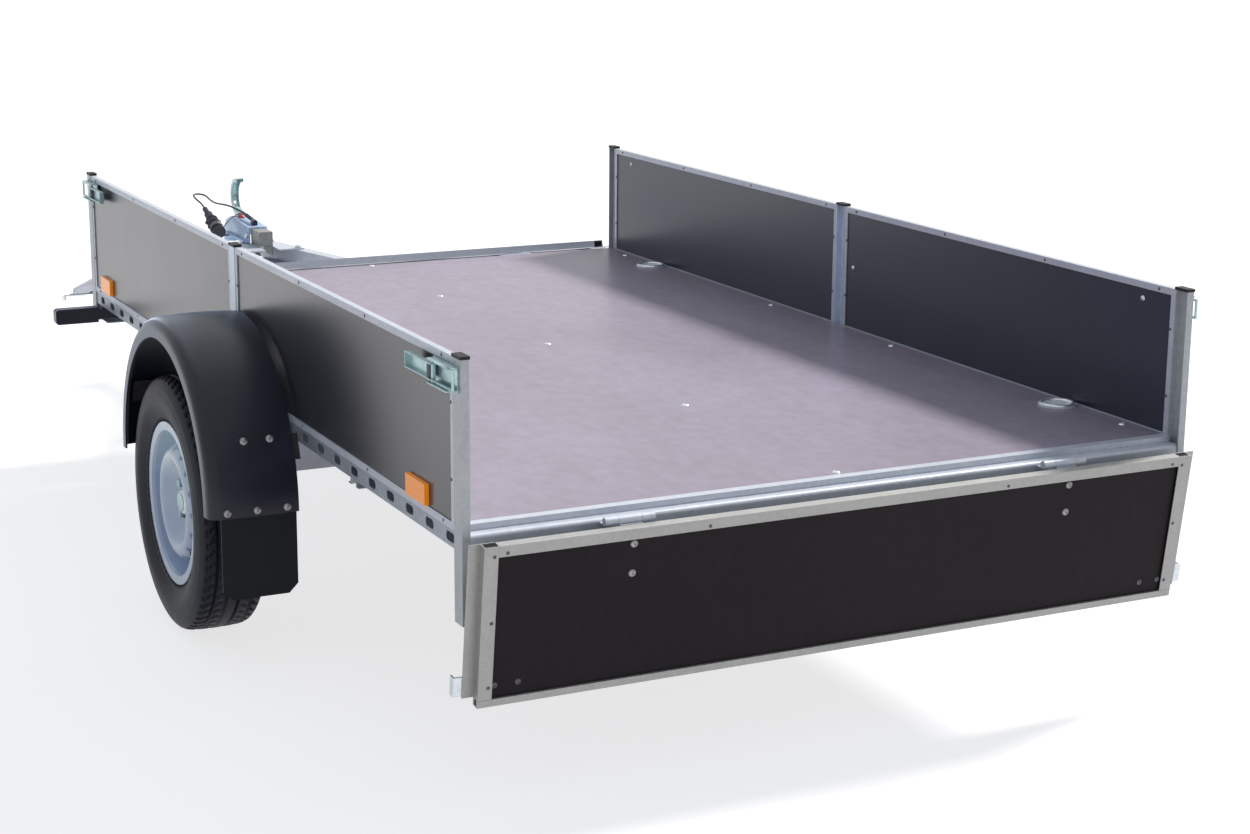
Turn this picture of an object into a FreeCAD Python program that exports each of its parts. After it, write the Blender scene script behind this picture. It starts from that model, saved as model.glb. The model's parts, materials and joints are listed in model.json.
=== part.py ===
import FreeCAD, Part
import math
import os
import Sketcher
from FreeCAD import Placement, Rotation, Vector

# Utility trailer with a flat plywood bed, four corner latches and one axle.
# Millimetres. X points right, Y forward, Z up. The origin is on the ground under the middle of
# the trailer's length. Bed coordinates, used by the pieces, start at the rear faces of the rear
# posts (Y) and at the top of the floor (Z); every piece is then moved by its Placement.

SIZES = {
    # Bed
    "bed_width": 1600, "bed_length": 2665, "side_height": 310, "deck_height": 540,
    "floor_thickness": 12, "floor_rear_gap": 50, "floor_front_gap": 17, "floor_side_gap": 17,
    # Posts, a folded channel each
    "post_width": 16, "post_depth": 37, "post_wall": 2.5, "rear_post_drop": 179,
    "front_post_drop": 94, "cap_height": 6, "cap_overlap": 1.5,
    # Side rails with their row of holes, and the members across
    "rail_height": 34, "rail_flange": 45, "rail_wall": 2.5, "rail_inset": 3,
    "rail_hole_length": 40, "rail_hole_height": 18, "rail_hole_pitch": 100, "rail_hole_first": 62,
    "cross_width": 60, "cross_height": 84, "cross_lip": 15, "cross_pitch": 705, "cross_from_front": 1265,
    "end_rail_depth": 37, "rear_rail_height": 38, "end_rail_round": 8, "sill_back": 27,
    # Side panels
    "panel_thickness": 9, "frame_depth": 14, "frame_lip": 14, "frame_wall": 2, "seat_gap": 0.3,
    # Tailboard and headboard, measured from their hinge axes
    "hinge_back": 18, "hinge_drop": 13, "board_offset": 10.5, "board_start": 6,
    "board_height": 312, "board_thickness": 20, "board_rail": 21, "board_foot": 14, "board_stile": 28,
    "edge_wall": 2, "board_clearance": 6, "tail_angle": 187.5, "head_angle": 106,
    "hinge_place": 482, "hinge_length": 100, "hinge_leaf": 3, "hinge_strap": 46, "leaf_length": 132,
    "pin_radius": 4, "knuckle_radius": 8,
    "receiver_height": 38, "receiver_drop": 18, "receiver_wall": 3, "receiver_reach": 17,
    "receiver_hook": 15, "receiver_root": 50,
    # Corner latches, measured from the posts' end faces
    "latch_start": 8, "latch_length": 112, "latch_below_top": 66, "latch_height": 46, "latch_plate": 2.5,
    "latch_stand": 20, "lever_end": 215, "lever_height": 30, "lever_wall": 2, "lever_depth": 11,
    "bail_wire": 2.5, "bail_end": 3, "latch_pivot": 98,
    # Wheels, 155/80 R13 on a 13 inch rim
    "axle_from_front": 1393, "tyre_radius": 287, "tyre_width": 160, "wheel_out": 111,
    "rim_radius": 182.5, "rim_width": 128, "rim_wall": 4, "seat_radius": 164.7,
    "rim_window": 8, "rim_window_count": 16, "rim_window_circle": 126,
    "disc_face": 26, "disc_crown": 60, "crown_radius": 100,
    "hub_radius": 34, "stud_circle": 50, "hub_reach": 62,
    # Axle
    "beam_ahead": 150, "beam_rise": 45, "beam_side": 70, "beam_wall": 6, "arm_thickness": 22,
    "arm_width": 56, "stub_radius": 15, "bracket_length": 110, "bracket_thickness": 6,
    # Mudguards
    "guard_radius": 360, "guard_back": 40, "guard_rise": 65, "guard_gap": 10, "guard_width": 193,
    "guard_wall": 4, "guard_crown": 3, "guard_round": 26, "guard_lip": 18, "flap_drop": 178,
    "flap_thickness": 5, "flap_overlap": 32, "flap_inset": 2, "flap_corner": 20, "stay_angle": 9,
    # Drawbar, its front pieces measured back from the ball
    "ball_ahead": 1320, "arm_top": 96, "arm_tube": 42, "arm_height": 50, "arm_tube_wall": 4,
    "arm_angle": 14.9, "arm_meet": 39, "arm_meet_back": 195, "nose_plate": 5, "nose_plate_back": 435,
    "nose_plate_length": 190, "nose_plate_width": 212, "nose_plate_tip": 120,
    "tail_back": 369, "tail_width": 46, "tail_rise": 54, "tail_depth": 78, "tail_wall": 4, "tail_closed": 46,
    "head_back": 285, "head_width": 62, "head_wall": 4, "head_lip": 12, "head_low": 88,
    "head_high": 26, "head_high_back": 84, "head_fall": 44, "head_fall_back": 30, "head_front": 70,
    "ball_radius": 25.4, "socket_wall": 5, "socket_depth": 24, "ball_drop": 96,
    "handle_back": 90.7, "handle_centre": 37.8, "handle_bend": 62.7, "handle_depth": 12.7,
    "handle_width": 26, "handle_wall": 2.5, "handle_hole": 5,
    # Lead, plug and strain relief
    "lead_radius": 3, "tether_radius": 1.5, "relief_radius": 6.5, "relief_length": 101.5,
    "plug_radius": 19, "plug_length": 147,
    # Prop leg, measured forward from the bed's front
    "leg_ahead": 465, "leg_section": 40, "leg_wall": 3, "leg_foot": 110, "leg_foot_plate": 5,
    "leg_pin_drop": 45, "leg_bridge": 240, "leg_pin_radius": 8, "leg_cheek": 6, "leg_running": 0.6,
    # Lamps, reflectors and lashing pans
    "reflector_length": 96, "reflector_height": 40, "reflector_depth": 9, "reflector_low": 3,
    "reflector_from_rear": 212, "reflector_from_front": 172,
    "lamp_bar_height": 60, "lamp_bar_depth": 26, "lamp_bar_back": 8, "lamp_bar_rise": 6,
    "lamp_width": 220, "lamp_inset": 20, "lamp_margin": 4,
    "marker_gap": 4, "marker_reach": 116, "marker_top": 52, "marker_low": 93, "marker_from_front": 43,
    "marker_depth": 32, "marker_round": 9, "marker_arm": 59,
    "pan_radius": 41, "pan_height": 5, "pan_from_side": 59, "pan_from_rear": 352, "pan_from_front": 367,
    "pan_bowl": 30, "pan_wall": 2, "pan_bar": 3.5,
}


class Size:
    """A length that carries both its value and the sheet formula that gives it."""

    def __init__(self, value, text=None):
        self.value = float(value)
        self.text = text if text is not None else repr(float(value))

    def joined(self, other, sign, turned=False):
        other = other if isinstance(other, Size) else Size(other)
        a, b = (other, self) if turned else (self, other)
        values = {"+": a.value + b.value, "-": a.value - b.value, "*": a.value * b.value}
        value = values[sign] if sign in values else a.value / b.value
        return Size(value, "(%s %s %s)" % (a.text, sign, b.text))

    def __add__(self, other):
        return self.joined(other, "+")

    def __radd__(self, other):
        return self.joined(other, "+", True)

    def __sub__(self, other):
        return self.joined(other, "-")

    def __rsub__(self, other):
        return self.joined(other, "-", True)

    def __mul__(self, other):
        return self.joined(other, "*")

    def __rmul__(self, other):
        return self.joined(other, "*", True)

    def __truediv__(self, other):
        return self.joined(other, "/")

    def __neg__(self):
        return Size(0).joined(self, "-")

    def __float__(self):
        return self.value


class Sheet:
    """The driving sizes, as attributes that remember their cell."""


doc = FreeCAD.newDocument("UtilityTrailer")
sheet = doc.addObject("Spreadsheet::Sheet", "Sizes")
z = Sheet()
for row, (alias, number) in enumerate(SIZES.items(), 1):
    sheet.set("A%d" % row, alias)
    sheet.set("B%d" % row, str(number))
    sheet.setAlias("B%d" % row, alias)
    setattr(z, alias, Size(number, "Sizes." + alias))
doc.recompute()

half = z.bed_width / 2
ball_y = z.bed_length + z.ball_ahead
tail_turn = math.radians(z.tail_angle.value)
# The rearmost edge is the tailboard's inner face at its hinge side; the foremost the coupling's nose
board_inside = z.board_offset + z.edge_wall + z.board_thickness
nose_y = ball_y + z.ball_radius + z.socket_wall
rear_reach = z.hinge_back - board_inside * math.cos(tail_turn) + z.board_start * math.sin(tail_turn)
shift_y = (rear_reach - nose_y) / 2
finished = {}


def bind(thing, prop, size):
    """Gives a property its number and, for a sheet size, its formula."""
    if isinstance(size, Size):
        thing.setExpression(prop, size.text)
    else:
        thing.setExpression(prop, repr(float(size)))


def finish(label, thing, place=None):
    """Names a sub-part and moves it from bed coordinates to the model's frame."""
    thing.Label = label
    x, y, up, turn = place or (Size(0), Size(0), Size(0), Rotation())
    thing.Placement = Placement(Vector(0, 0, 0), turn)
    bind(thing, "Placement.Base.x", x)
    bind(thing, "Placement.Base.y", y + shift_y)
    bind(thing, "Placement.Base.z", up + z.deck_height)
    finished[label] = thing
    return thing


def box(low, high):
    """A box between two corners, each a triple of sizes."""
    thing = doc.addObject("Part::Box", "Block")
    for prop, a, b in zip(("Length", "Width", "Height"), low, high):
        bind(thing, prop, (b if isinstance(b, Size) else Size(b)) - a)
    for axis, a in zip("xyz", low):
        bind(thing, "Placement.Base." + axis, a)
    return thing


def rod(centre, radius, length, axis):
    """A round bar from a centre point along X, Y or Z."""
    thing = doc.addObject("Part::Cylinder", "Rod")
    bind(thing, "Radius", radius)
    bind(thing, "Height", length)
    turns = {"X": Rotation(Vector(0, 1, 0), 90), "Y": Rotation(Vector(1, 0, 0), -90), "Z": Rotation()}
    thing.Placement = Placement(Vector(0, 0, 0), turns[axis])
    for name, a in zip("xyz", centre):
        bind(thing, "Placement.Base." + name, a)
    return thing


def fuse(*parts):
    thing = doc.addObject("Part::MultiFuse", "Joined")
    thing.Shapes = list(parts)
    thing.Refine = True
    return thing


def cut(base, *tools):
    tool = tools[0] if len(tools) == 1 else group(*tools)
    thing = doc.addObject("Part::Cut", "Cut")
    thing.Base = base
    thing.Tool = tool
    return thing


def group(*parts):
    thing = doc.addObject("Part::Compound", "Set")
    thing.Links = list(parts)
    return thing


def mirrored(part):
    """The same piece on the other side of the trailer."""
    thing = doc.addObject("Part::Mirroring", "Mirrored")
    thing.Source = part
    thing.Base = Vector(0, 0, 0)
    thing.Normal = Vector(1, 0, 0)
    return thing


def both(part):
    return group(part, mirrored(part))


def body_of(name):
    return doc.addObject("PartDesign::Body", name)


def sketch_on(body, role, offset=None):
    """A sketch on one of the body's own planes, moved along its normal by an offset."""
    plane = [f for f in body.Origin.OriginFeatures if f.Role == role][0]
    sketch = body.newObject("Sketcher::SketchObject", body.Name + "Sketch")
    sketch.AttachmentSupport = [(plane, "")]
    sketch.MapMode = "FlatFace"
    if offset is not None:
        bind(sketch, "AttachmentOffset.Base.z", offset)
    return sketch


def pin_point(sketch, edge, end, point):
    """Ties one end of an edge to a pair of sizes."""
    for kind, axis, size in (("DistanceX", -2, point[0]), ("DistanceY", -1, point[1])):
        size = size if isinstance(size, Size) else Size(size)
        if abs(size.value) < 1e-9:
            sketch.addConstraint(Sketcher.Constraint("PointOnObject", edge, end, axis))
        else:
            index = sketch.addConstraint(Sketcher.Constraint(kind, -1, 1, edge, end, size.value))
            sketch.setExpression("Constraints[%d]" % index, size.text)


def arc_centre(start, middle, end):
    """The centre of the circle through three pairs of sizes."""
    x, y = [p if isinstance(p, Size) else Size(p) for p in start[:2]]
    bx, by = middle[0] - x, middle[1] - y
    cx, cy = end[0] - x, end[1] - y
    b_square = bx * bx + by * by
    c_square = cx * cx + cy * cy
    double = 2 * (bx * cy - by * cx)
    return x + (cy * b_square - by * c_square) / double, y + (bx * c_square - cx * b_square) / double


def outline(sketch, points):
    """A closed run of straight edges. A point may carry a third entry, the middle of an arc to it."""
    flat = [Vector(float(p[0]), float(p[1]), 0) for p in points]
    first = sketch.GeometryCount
    count = len(points)
    for i, start in enumerate(flat):
        after = points[(i + 1) % count]
        end = flat[(i + 1) % count]
        if len(after) > 2:
            middle = Vector(float(after[2][0]), float(after[2][1]), 0)
            if (middle - start).cross(end - middle).z > 0:
                sketch.addGeometry(Part.Arc(start, middle, end))
            else:
                sketch.addGeometry(Part.Arc(end, middle, start))
        else:
            sketch.addGeometry(Part.LineSegment(start, end))
    for i, after in enumerate(points):
        edge = sketch.Geometry[first + i]
        starts_here = edge.StartPoint.distanceToPoint(flat[i]) < 1e-6
        before = sketch.Geometry[first + (i - 1) % count]
        ends_here = before.EndPoint.distanceToPoint(flat[i]) < 1e-6
        here = 1 if starts_here else 2
        there = 2 if ends_here else 1
        sketch.addConstraint(Sketcher.Constraint("Coincident", first + (i - 1) % count, there,
                                                 first + i, here))
        pin_point(sketch, first + i, here, points[i])
        if hasattr(edge, "Radius"):
            chord = edge.EndPoint - edge.StartPoint
            middle = points[(i + 1) % count][2]
            centre = arc_centre(points[i], middle, points[(i + 1) % count])
            axis = 0 if abs(chord.y) > abs(chord.x) else 1
            if abs(centre[axis].value) < 1e-6:
                sketch.addConstraint(Sketcher.Constraint("PointOnObject", first + i, 3, -2 + axis))
            else:
                kind = ("DistanceX", "DistanceY")[axis]
                index = sketch.addConstraint(Sketcher.Constraint(kind, -1, 1, first + i, 3, centre[axis].value))
                sketch.setExpression("Constraints[%d]" % index, centre[axis].text)


def ring(sketch, centre, radius):
    at = Vector(float(centre[0]), float(centre[1]), 0)
    edge = sketch.addGeometry(Part.Circle(at, Vector(0, 0, 1), float(radius)))
    pin_point(sketch, edge, 3, centre)
    index = sketch.addConstraint(Sketcher.Constraint("Radius", edge, float(radius)))
    if isinstance(radius, Size):
        sketch.setExpression("Constraints[%d]" % index, radius.text)


def pad(body, role, points, start, length, holes=()):
    """An extrusion of an outline, from start, along the normal of a plane."""
    sketch = sketch_on(body, role, start)
    outline(sketch, points)
    for hole in holes:
        outline(sketch, hole)
    feature = body.newObject("PartDesign::Pad", body.Name + "Pad")
    feature.Profile = sketch
    bind(feature, "Length", length)
    return feature


def pocket_through(body, role, sketch):
    feature = body.newObject("PartDesign::Pocket", body.Name + "Pocket")
    feature.Profile = sketch
    feature.Type = "ThroughAll"
    feature.Midplane = True
    return feature


def turned(body, points, angle=360, middle=None):
    """A revolution of an outline in the X-Z plane about the X axis."""
    sketch = sketch_on(body, "XZ_Plane")
    outline(sketch, points)
    feature = body.newObject("PartDesign::Revolution", body.Name + "Turned")
    feature.Profile = sketch
    feature.ReferenceAxis = (sketch, ["H_Axis"])
    bind(feature, "Angle", angle)
    if middle:
        feature.Midplane = True
    return feature


# Floor, with a hole for each lashing pan's bowl
floor_x = half - z.floor_side_gap
floor_end = z.bed_length - z.floor_front_gap
pan_spots = [(x, y) for x in (z.pan_from_side - half, half - z.pan_from_side)
             for y in (z.pan_from_rear, z.bed_length - z.pan_from_front)]
sheet_of_floor = box((-floor_x, z.floor_rear_gap, -z.floor_thickness), (floor_x, floor_end, Size(0)))
pan_holes = [rod((x, y, -z.floor_thickness - 1), z.pan_bowl + z.seat_gap, z.floor_thickness + 2, "Z")
             for x, y in pan_spots]
finish("floor", cut(sheet_of_floor, *pan_holes))

# Side rails: a channel open inwards, with a row of slots in its web
rail_out = half - z.rail_inset
rail_low = z.floor_thickness + z.rail_height
rail_rear = z.post_depth + z.seat_gap
rail_length = z.bed_length - 2 * rail_rear
for side, sign in (("left", -1), ("right", 1)):
    rail = body_of("SideRail" + side.title())
    wall = z.rail_wall
    pad(rail, "XZ_Plane", [
        (sign * rail_out, -z.floor_thickness), (sign * rail_out, -rail_low),
        (sign * (rail_out - z.rail_flange), -rail_low), (sign * (rail_out - z.rail_flange), wall - rail_low),
        (sign * (rail_out - wall), wall - rail_low), (sign * (rail_out - wall), -z.floor_thickness - wall),
        (sign * (rail_out - z.rail_flange), -z.floor_thickness - wall),
        (sign * (rail_out - z.rail_flange), -z.floor_thickness)], -rail_rear - rail_length, rail_length)
    slots = sketch_on(rail, "YZ_Plane")
    middle_z = -z.floor_thickness - z.rail_height / 2
    first_y = z.rail_hole_first
    round_r = z.rail_hole_height / 2
    reach = z.rail_hole_length / 2 - round_r
    outline(slots, [
        (first_y - reach, middle_z - round_r, (first_y - reach - round_r, middle_z)), (first_y + reach, middle_z - round_r),
        (first_y + reach, middle_z + round_r, (first_y + reach + round_r, middle_z)),
        (first_y - reach, middle_z + round_r)])
    slot = pocket_through(rail, "YZ_Plane", slots)
    row = rail.newObject("PartDesign::LinearPattern", rail.Name + "Row")
    row.Originals = [slot]
    row.Direction = (slots, ["H_Axis"])
    holes = int((z.bed_length.value - 2 * z.rail_hole_first.value) // z.rail_hole_pitch.value)
    bind(row, "Length", z.rail_hole_pitch * holes)
    row.Occurrences = holes + 1
    rail.Tip = row
    finish("side_rail_" + side, rail)


def along_x(body, points, start, end):
    return pad(body, "YZ_Plane", points, start, end - start)


def along_y(body, points, start, end):
    return pad(body, "XZ_Plane", points, -end, end - start)


def along_z(body, points, start, end):
    return pad(body, "XY_Plane", points, start, end - start)


# Members across: hats open downwards under the floor, and an end rail at each end
cross_end = rail_out - z.rail_flange - z.seat_gap
post_in = half - z.post_width
members = []
for i in (-1, 0, 1):
    member = body_of("CrossMember")
    w = z.cross_width / 2
    wall = z.rail_wall
    middle = z.bed_length - z.cross_from_front + i * z.cross_pitch
    low = -z.floor_thickness - z.cross_height
    top = -z.floor_thickness
    lip = z.cross_lip
    along_x(member, [
        (middle - w, low), (middle - w + lip, low), (middle - w + lip, top - wall),
        (middle + w - lip, top - wall), (middle + w - lip, low), (middle + w, low),
        (middle + w, low + wall), (middle + w - lip + wall, low + wall),
        (middle + w - lip + wall, top), (middle - w + lip - wall, top),
        (middle - w + lip - wall, low + wall), (middle - w, low + wall)], -cross_end, cross_end)
    members.append(member)
finish("cross_members", group(*members))

for name, front, height in (("rear_rail", False, z.rear_rail_height), ("front_rail", True, z.cross_height)):
    rail = body_of(name.title().replace("_", ""))
    wall = z.rail_wall
    top = -z.floor_thickness
    low = top - height
    outer_r = z.end_rail_round
    inner_r = outer_r - wall
    deep = z.floor_rear_gap + z.end_rail_depth
    edge = z.post_wall
    bend = math.sqrt(0.5)

    def from_end(distance):
        return z.bed_length - distance if front else distance

    # At the rear a folded sill covers the plywood's edge, its top level with the floor
    sill = z.sill_back
    sill_end = z.floor_rear_gap - z.seat_gap
    fold = [] if front else [
        (sill + wall, top), (sill + wall, -wall), (sill_end, -wall), (sill_end, Size(0)), (sill, Size(0)), (sill, top)]
    along_x(rail, [(from_end(deep), top)] + fold + [
        (from_end(edge + outer_r), top),
        (from_end(edge), top - outer_r, (from_end(edge + outer_r - bend * outer_r), top - outer_r + bend * outer_r)),
        (from_end(edge), low), (from_end(deep), low), (from_end(deep), low + wall),
        (from_end(edge + wall), low + wall), (from_end(edge + wall), top - outer_r),
        (from_end(edge + outer_r), top - wall,
         (from_end(edge + outer_r - bend * inner_r), top - outer_r + bend * inner_r)),
        (from_end(deep), top - wall)], -(post_in - z.seat_gap), post_in - z.seat_gap)
    notches = []
    notch_low, notch_high = sorted((from_end(z.post_depth), from_end(deep + 1)), key=float)
    for side in (-1, 1):
        a, b = (side * cross_end, side * half) if side > 0 else (side * half, side * cross_end)
        notches.append(box((a, notch_low, -rail_low - z.seat_gap), (b, notch_high, top + 1)))
    finish(name, cut(rail, *notches))


def channel_post(y, drop, facing):
    """A folded post, open towards the load, its web outside."""
    post = body_of("Post")
    out = half
    inner = half - z.post_width
    wall = z.post_wall
    points = [(out, y), (inner, y), (inner, y + wall), (out - wall, y + wall),
              (out - wall, y + z.post_depth - wall), (inner, y + z.post_depth - wall),
              (inner, y + z.post_depth), (out, y + z.post_depth)]
    along_z(post, [(facing * p[0], p[1]) for p in points], -drop, z.side_height - z.cap_height)
    return post


middle_y = z.bed_length / 2 - z.post_depth / 2
front_y = z.bed_length - z.post_depth
finish("corner_posts", group(*[channel_post(y, drop, side) for side in (-1, 1) for y, drop in (
    (Size(0), z.rear_post_drop), (front_y, z.front_post_drop))]))
finish("middle_posts", group(*[channel_post(middle_y, z.floor_thickness, side) for side in (-1, 1)]))
caps = []
for y in (Size(0), middle_y, front_y):
    over = z.cap_overlap
    low = z.side_height - z.cap_height
    caps.append(both(box((half - z.post_width - over, y - over, low),
                         (half + over, y + z.post_depth + over, z.side_height))))
finish("post_caps", group(*caps))

# Side panels: film-faced plywood held in a folded frame between the posts
frame_out = half - (z.post_width - z.frame_depth) / 2
frame_in = frame_out - z.frame_depth
panel_mid = (frame_out + frame_in) / 2
panel_face = panel_mid + z.panel_thickness / 2
panel_low = -z.floor_thickness
panel_high = z.side_height - z.cap_height
sheets = []
frames = []
for start, end in ((z.post_depth + z.seat_gap, middle_y - z.seat_gap),
                   (middle_y + z.post_depth + z.seat_gap, front_y - z.seat_gap)):
    wall = z.frame_wall
    lip = z.frame_lip
    in_frame = ((panel_mid - z.panel_thickness / 2, start + wall, panel_low + wall),
                (panel_face, end - wall, panel_high - wall))
    sheets.append(box(*in_frame))
    outer = box((frame_in, start, panel_low), (frame_out, end, panel_high))
    window = box((frame_in - 1, start + lip, panel_low + lip), (frame_out + 1, end - lip, panel_high - lip))
    frames.append(cut(outer, window, box(*in_frame)))
finish("side_panels_right", group(*sheets))
finish("side_frames_right", group(*frames))
finish("side_panels_left", group(*[mirrored(sheet_of_side) for sheet_of_side in sheets]))
finish("side_frames_left", group(*[mirrored(frame) for frame in frames]))


def board(prefix, place):
    """Tailboard or headboard, upright, seen from its hinge axis: Y runs inwards, Z up the board."""
    low = z.board_start
    high = low + z.board_height
    outside = z.board_offset
    inside = outside + z.edge_wall
    face = inside + z.board_thickness
    edge = post_in - z.board_clearance
    stile = z.board_stile
    wall = z.frame_wall
    sheet_out = inside + (z.board_thickness - z.panel_thickness) / 2
    sheet_in = sheet_out + z.panel_thickness
    finish(prefix + "_panel", group(box((wall - edge, sheet_out, low + wall), (edge - wall, sheet_in, high - wall))),
           place)
    # Two rails take the plywood's edges in a slot. The far one is lower and caps the stiles too
    rails = []
    foot = high - z.board_foot
    for bottom, top, reach in ((low, low + z.board_rail, edge - stile), (foot, high, edge)):
        outer = box((-reach, inside, bottom), (reach, face, top))
        slot = box((-edge - 1, sheet_out, low + wall), (edge + 1, sheet_in, high - wall))
        rails.append(cut(outer, slot))
    finish(prefix + "_rails", group(*rails), place)
    # End stiles with a flange that laps over the post
    stiles = []
    for side in (-1, 1):
        end = body_of("Stile")
        start = edge - stile + z.seat_gap
        points = [(half, inside), (edge, inside), (edge, face), (start, face), (start, face - wall),
                  (edge - wall, face - wall), (edge - wall, inside), (start, inside), (start, outside),
                  (half, outside)]
        along_z(end, [(side * p[0], p[1]) for p in points], low, foot - z.seat_gap)
        stiles.append(end)
    finish(prefix + "_ends", group(*stiles), place)
    # Hinge leaves on the outer face, each rolled round its pin
    leaves = []
    for side in (-1, 1):
        r = z.knuckle_radius
        near = side * z.hinge_place - z.hinge_strap / 2
        far = near + z.hinge_strap
        seat = inside - z.seat_gap
        leaf = box((near, seat - z.hinge_leaf, r - z.hinge_leaf), (far, seat, low + z.leaf_length))
        neck = box((near, Size(0), r - z.hinge_leaf), (far, seat, r))
        knuckle = rod((near, Size(0), Size(0)), r, z.hinge_strap, "X")
        bore = rod((near, Size(0), Size(0)), z.pin_radius + z.leg_running, z.hinge_strap, "X")
        leaves.append(cut(fuse(leaf, knuckle, neck), bore))
    finish(prefix + "_hinges", group(*leaves), place)
    # Bent receivers, which the latches' wire bails go over
    receivers = []
    top = high - z.receiver_drop
    for side in (-1, 1):
        hook = body_of("Receiver")
        w = z.receiver_wall
        tip = half + z.receiver_reach
        points = [(half - z.receiver_root, outside), (half - z.receiver_root, outside - w), (tip - w, outside - w),
                  (tip - w, outside - z.receiver_hook), (tip, outside - z.receiver_hook), (tip, outside)]
        along_z(hook, [(side * p[0], p[1]) for p in points], top - z.receiver_height, top)
        receivers.append(hook)
    finish(prefix + "_receivers", group(*receivers), place)


board("tailboard", (Size(0), -z.hinge_back, -z.hinge_drop, Rotation(Vector(1, 0, 0), z.tail_angle.value)))
head_turn = Rotation(Vector(0, 0, 1), 180) * Rotation(Vector(1, 0, 0), z.head_angle.value)
board("headboard", (Size(0), z.bed_length + z.hinge_back, -z.hinge_drop, head_turn))


def fixed_hinges():
    """Two knuckles and a pin on each hinge, with a tongue back to the end rail's face."""
    hinges = []
    for x in (-z.hinge_place, z.hinge_place):
        start = x - z.hinge_length / 2
        end = x + z.hinge_length / 2
        r = z.knuckle_radius
        solids = [rod((start, -z.hinge_back, -z.hinge_drop), z.pin_radius, z.hinge_length, "X")]
        for a, b in ((start, x - z.hinge_strap / 2 - z.leg_running), (x + z.hinge_strap / 2 + z.leg_running, end)):
            solids.append(rod((a, -z.hinge_back, -z.hinge_drop), r, b - a, "X"))
            solids.append(box((a, -z.hinge_back, -z.hinge_drop - r),
                              (b, z.post_wall, -z.hinge_drop - r + z.hinge_leaf)))
        hinges.append(fuse(*solids))
    return hinges


finish("rear_hinge_plates", group(*fixed_hinges()))
finish("front_hinge_plates", group(*fixed_hinges()),
       (Size(0), z.bed_length, Size(0), Rotation(Vector(0, 0, 1), 180)))


def latch(name, front):
    """Over-centre latches on one end's posts: base, lever and the wire bail, lying closed."""
    def from_end(a, b):
        return (z.bed_length - b, z.bed_length - a) if front else (a, b)

    low = z.side_height - z.latch_below_top
    high = low + z.latch_height
    skin = z.latch_plate
    face = half + z.seat_gap
    out = face + z.latch_stand
    a, b = from_end(z.latch_start, z.latch_start + z.latch_length)
    solids = [box((face, a, low), (face + skin, b, high))]
    for level in (low, high - skin):
        solids.append(box((face, a + 12, level), (out, b - 12, level + skin)))
    middle = (low + high) / 2
    a, b = from_end(z.latch_pivot - 6, z.lever_end)
    lever_low = middle - z.lever_height / 2
    lever_high = middle + z.lever_height / 2
    # The lever is a tray, open outwards and at its pivot, with a turned-up end
    root = out - z.lever_depth
    c, d = from_end(z.latch_pivot - 7, z.lever_end - z.lever_wall)
    hollow = box((root + z.lever_wall, c, lever_low + z.lever_wall), (out + 1, d, lever_high - z.lever_wall))
    solids.append(cut(box((root, a, lever_low), (out, b, lever_high)), hollow))
    pivot = from_end(z.latch_pivot, z.latch_pivot)[0]
    wire = z.bail_wire
    solids.append(rod((out - z.lever_depth / 2 - wire, pivot, low), wire + 1, z.latch_height, "Z"))
    bail_x = out - z.lever_depth / 2 - wire
    clear = skin + wire + 0.25
    for level in (low + clear, high - clear):
        start, end = from_end(z.bail_end + wire, z.latch_pivot)
        solids.append(rod((bail_x, start, level), wire, end - start, "Y"))
    corner = from_end(z.bail_end + wire, z.bail_end + wire)[0]
    solids.append(rod((bail_x, corner, low + wire), wire + 0.2, z.latch_height - 2 * wire, "Z"))
    finish(name, both(fuse(*solids)))


latch("latches_rear", False)
latch("latches_front", True)

# Wheels
axle_y = z.bed_length - z.axle_from_front
axle_z = z.tyre_radius - z.deck_height


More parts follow.
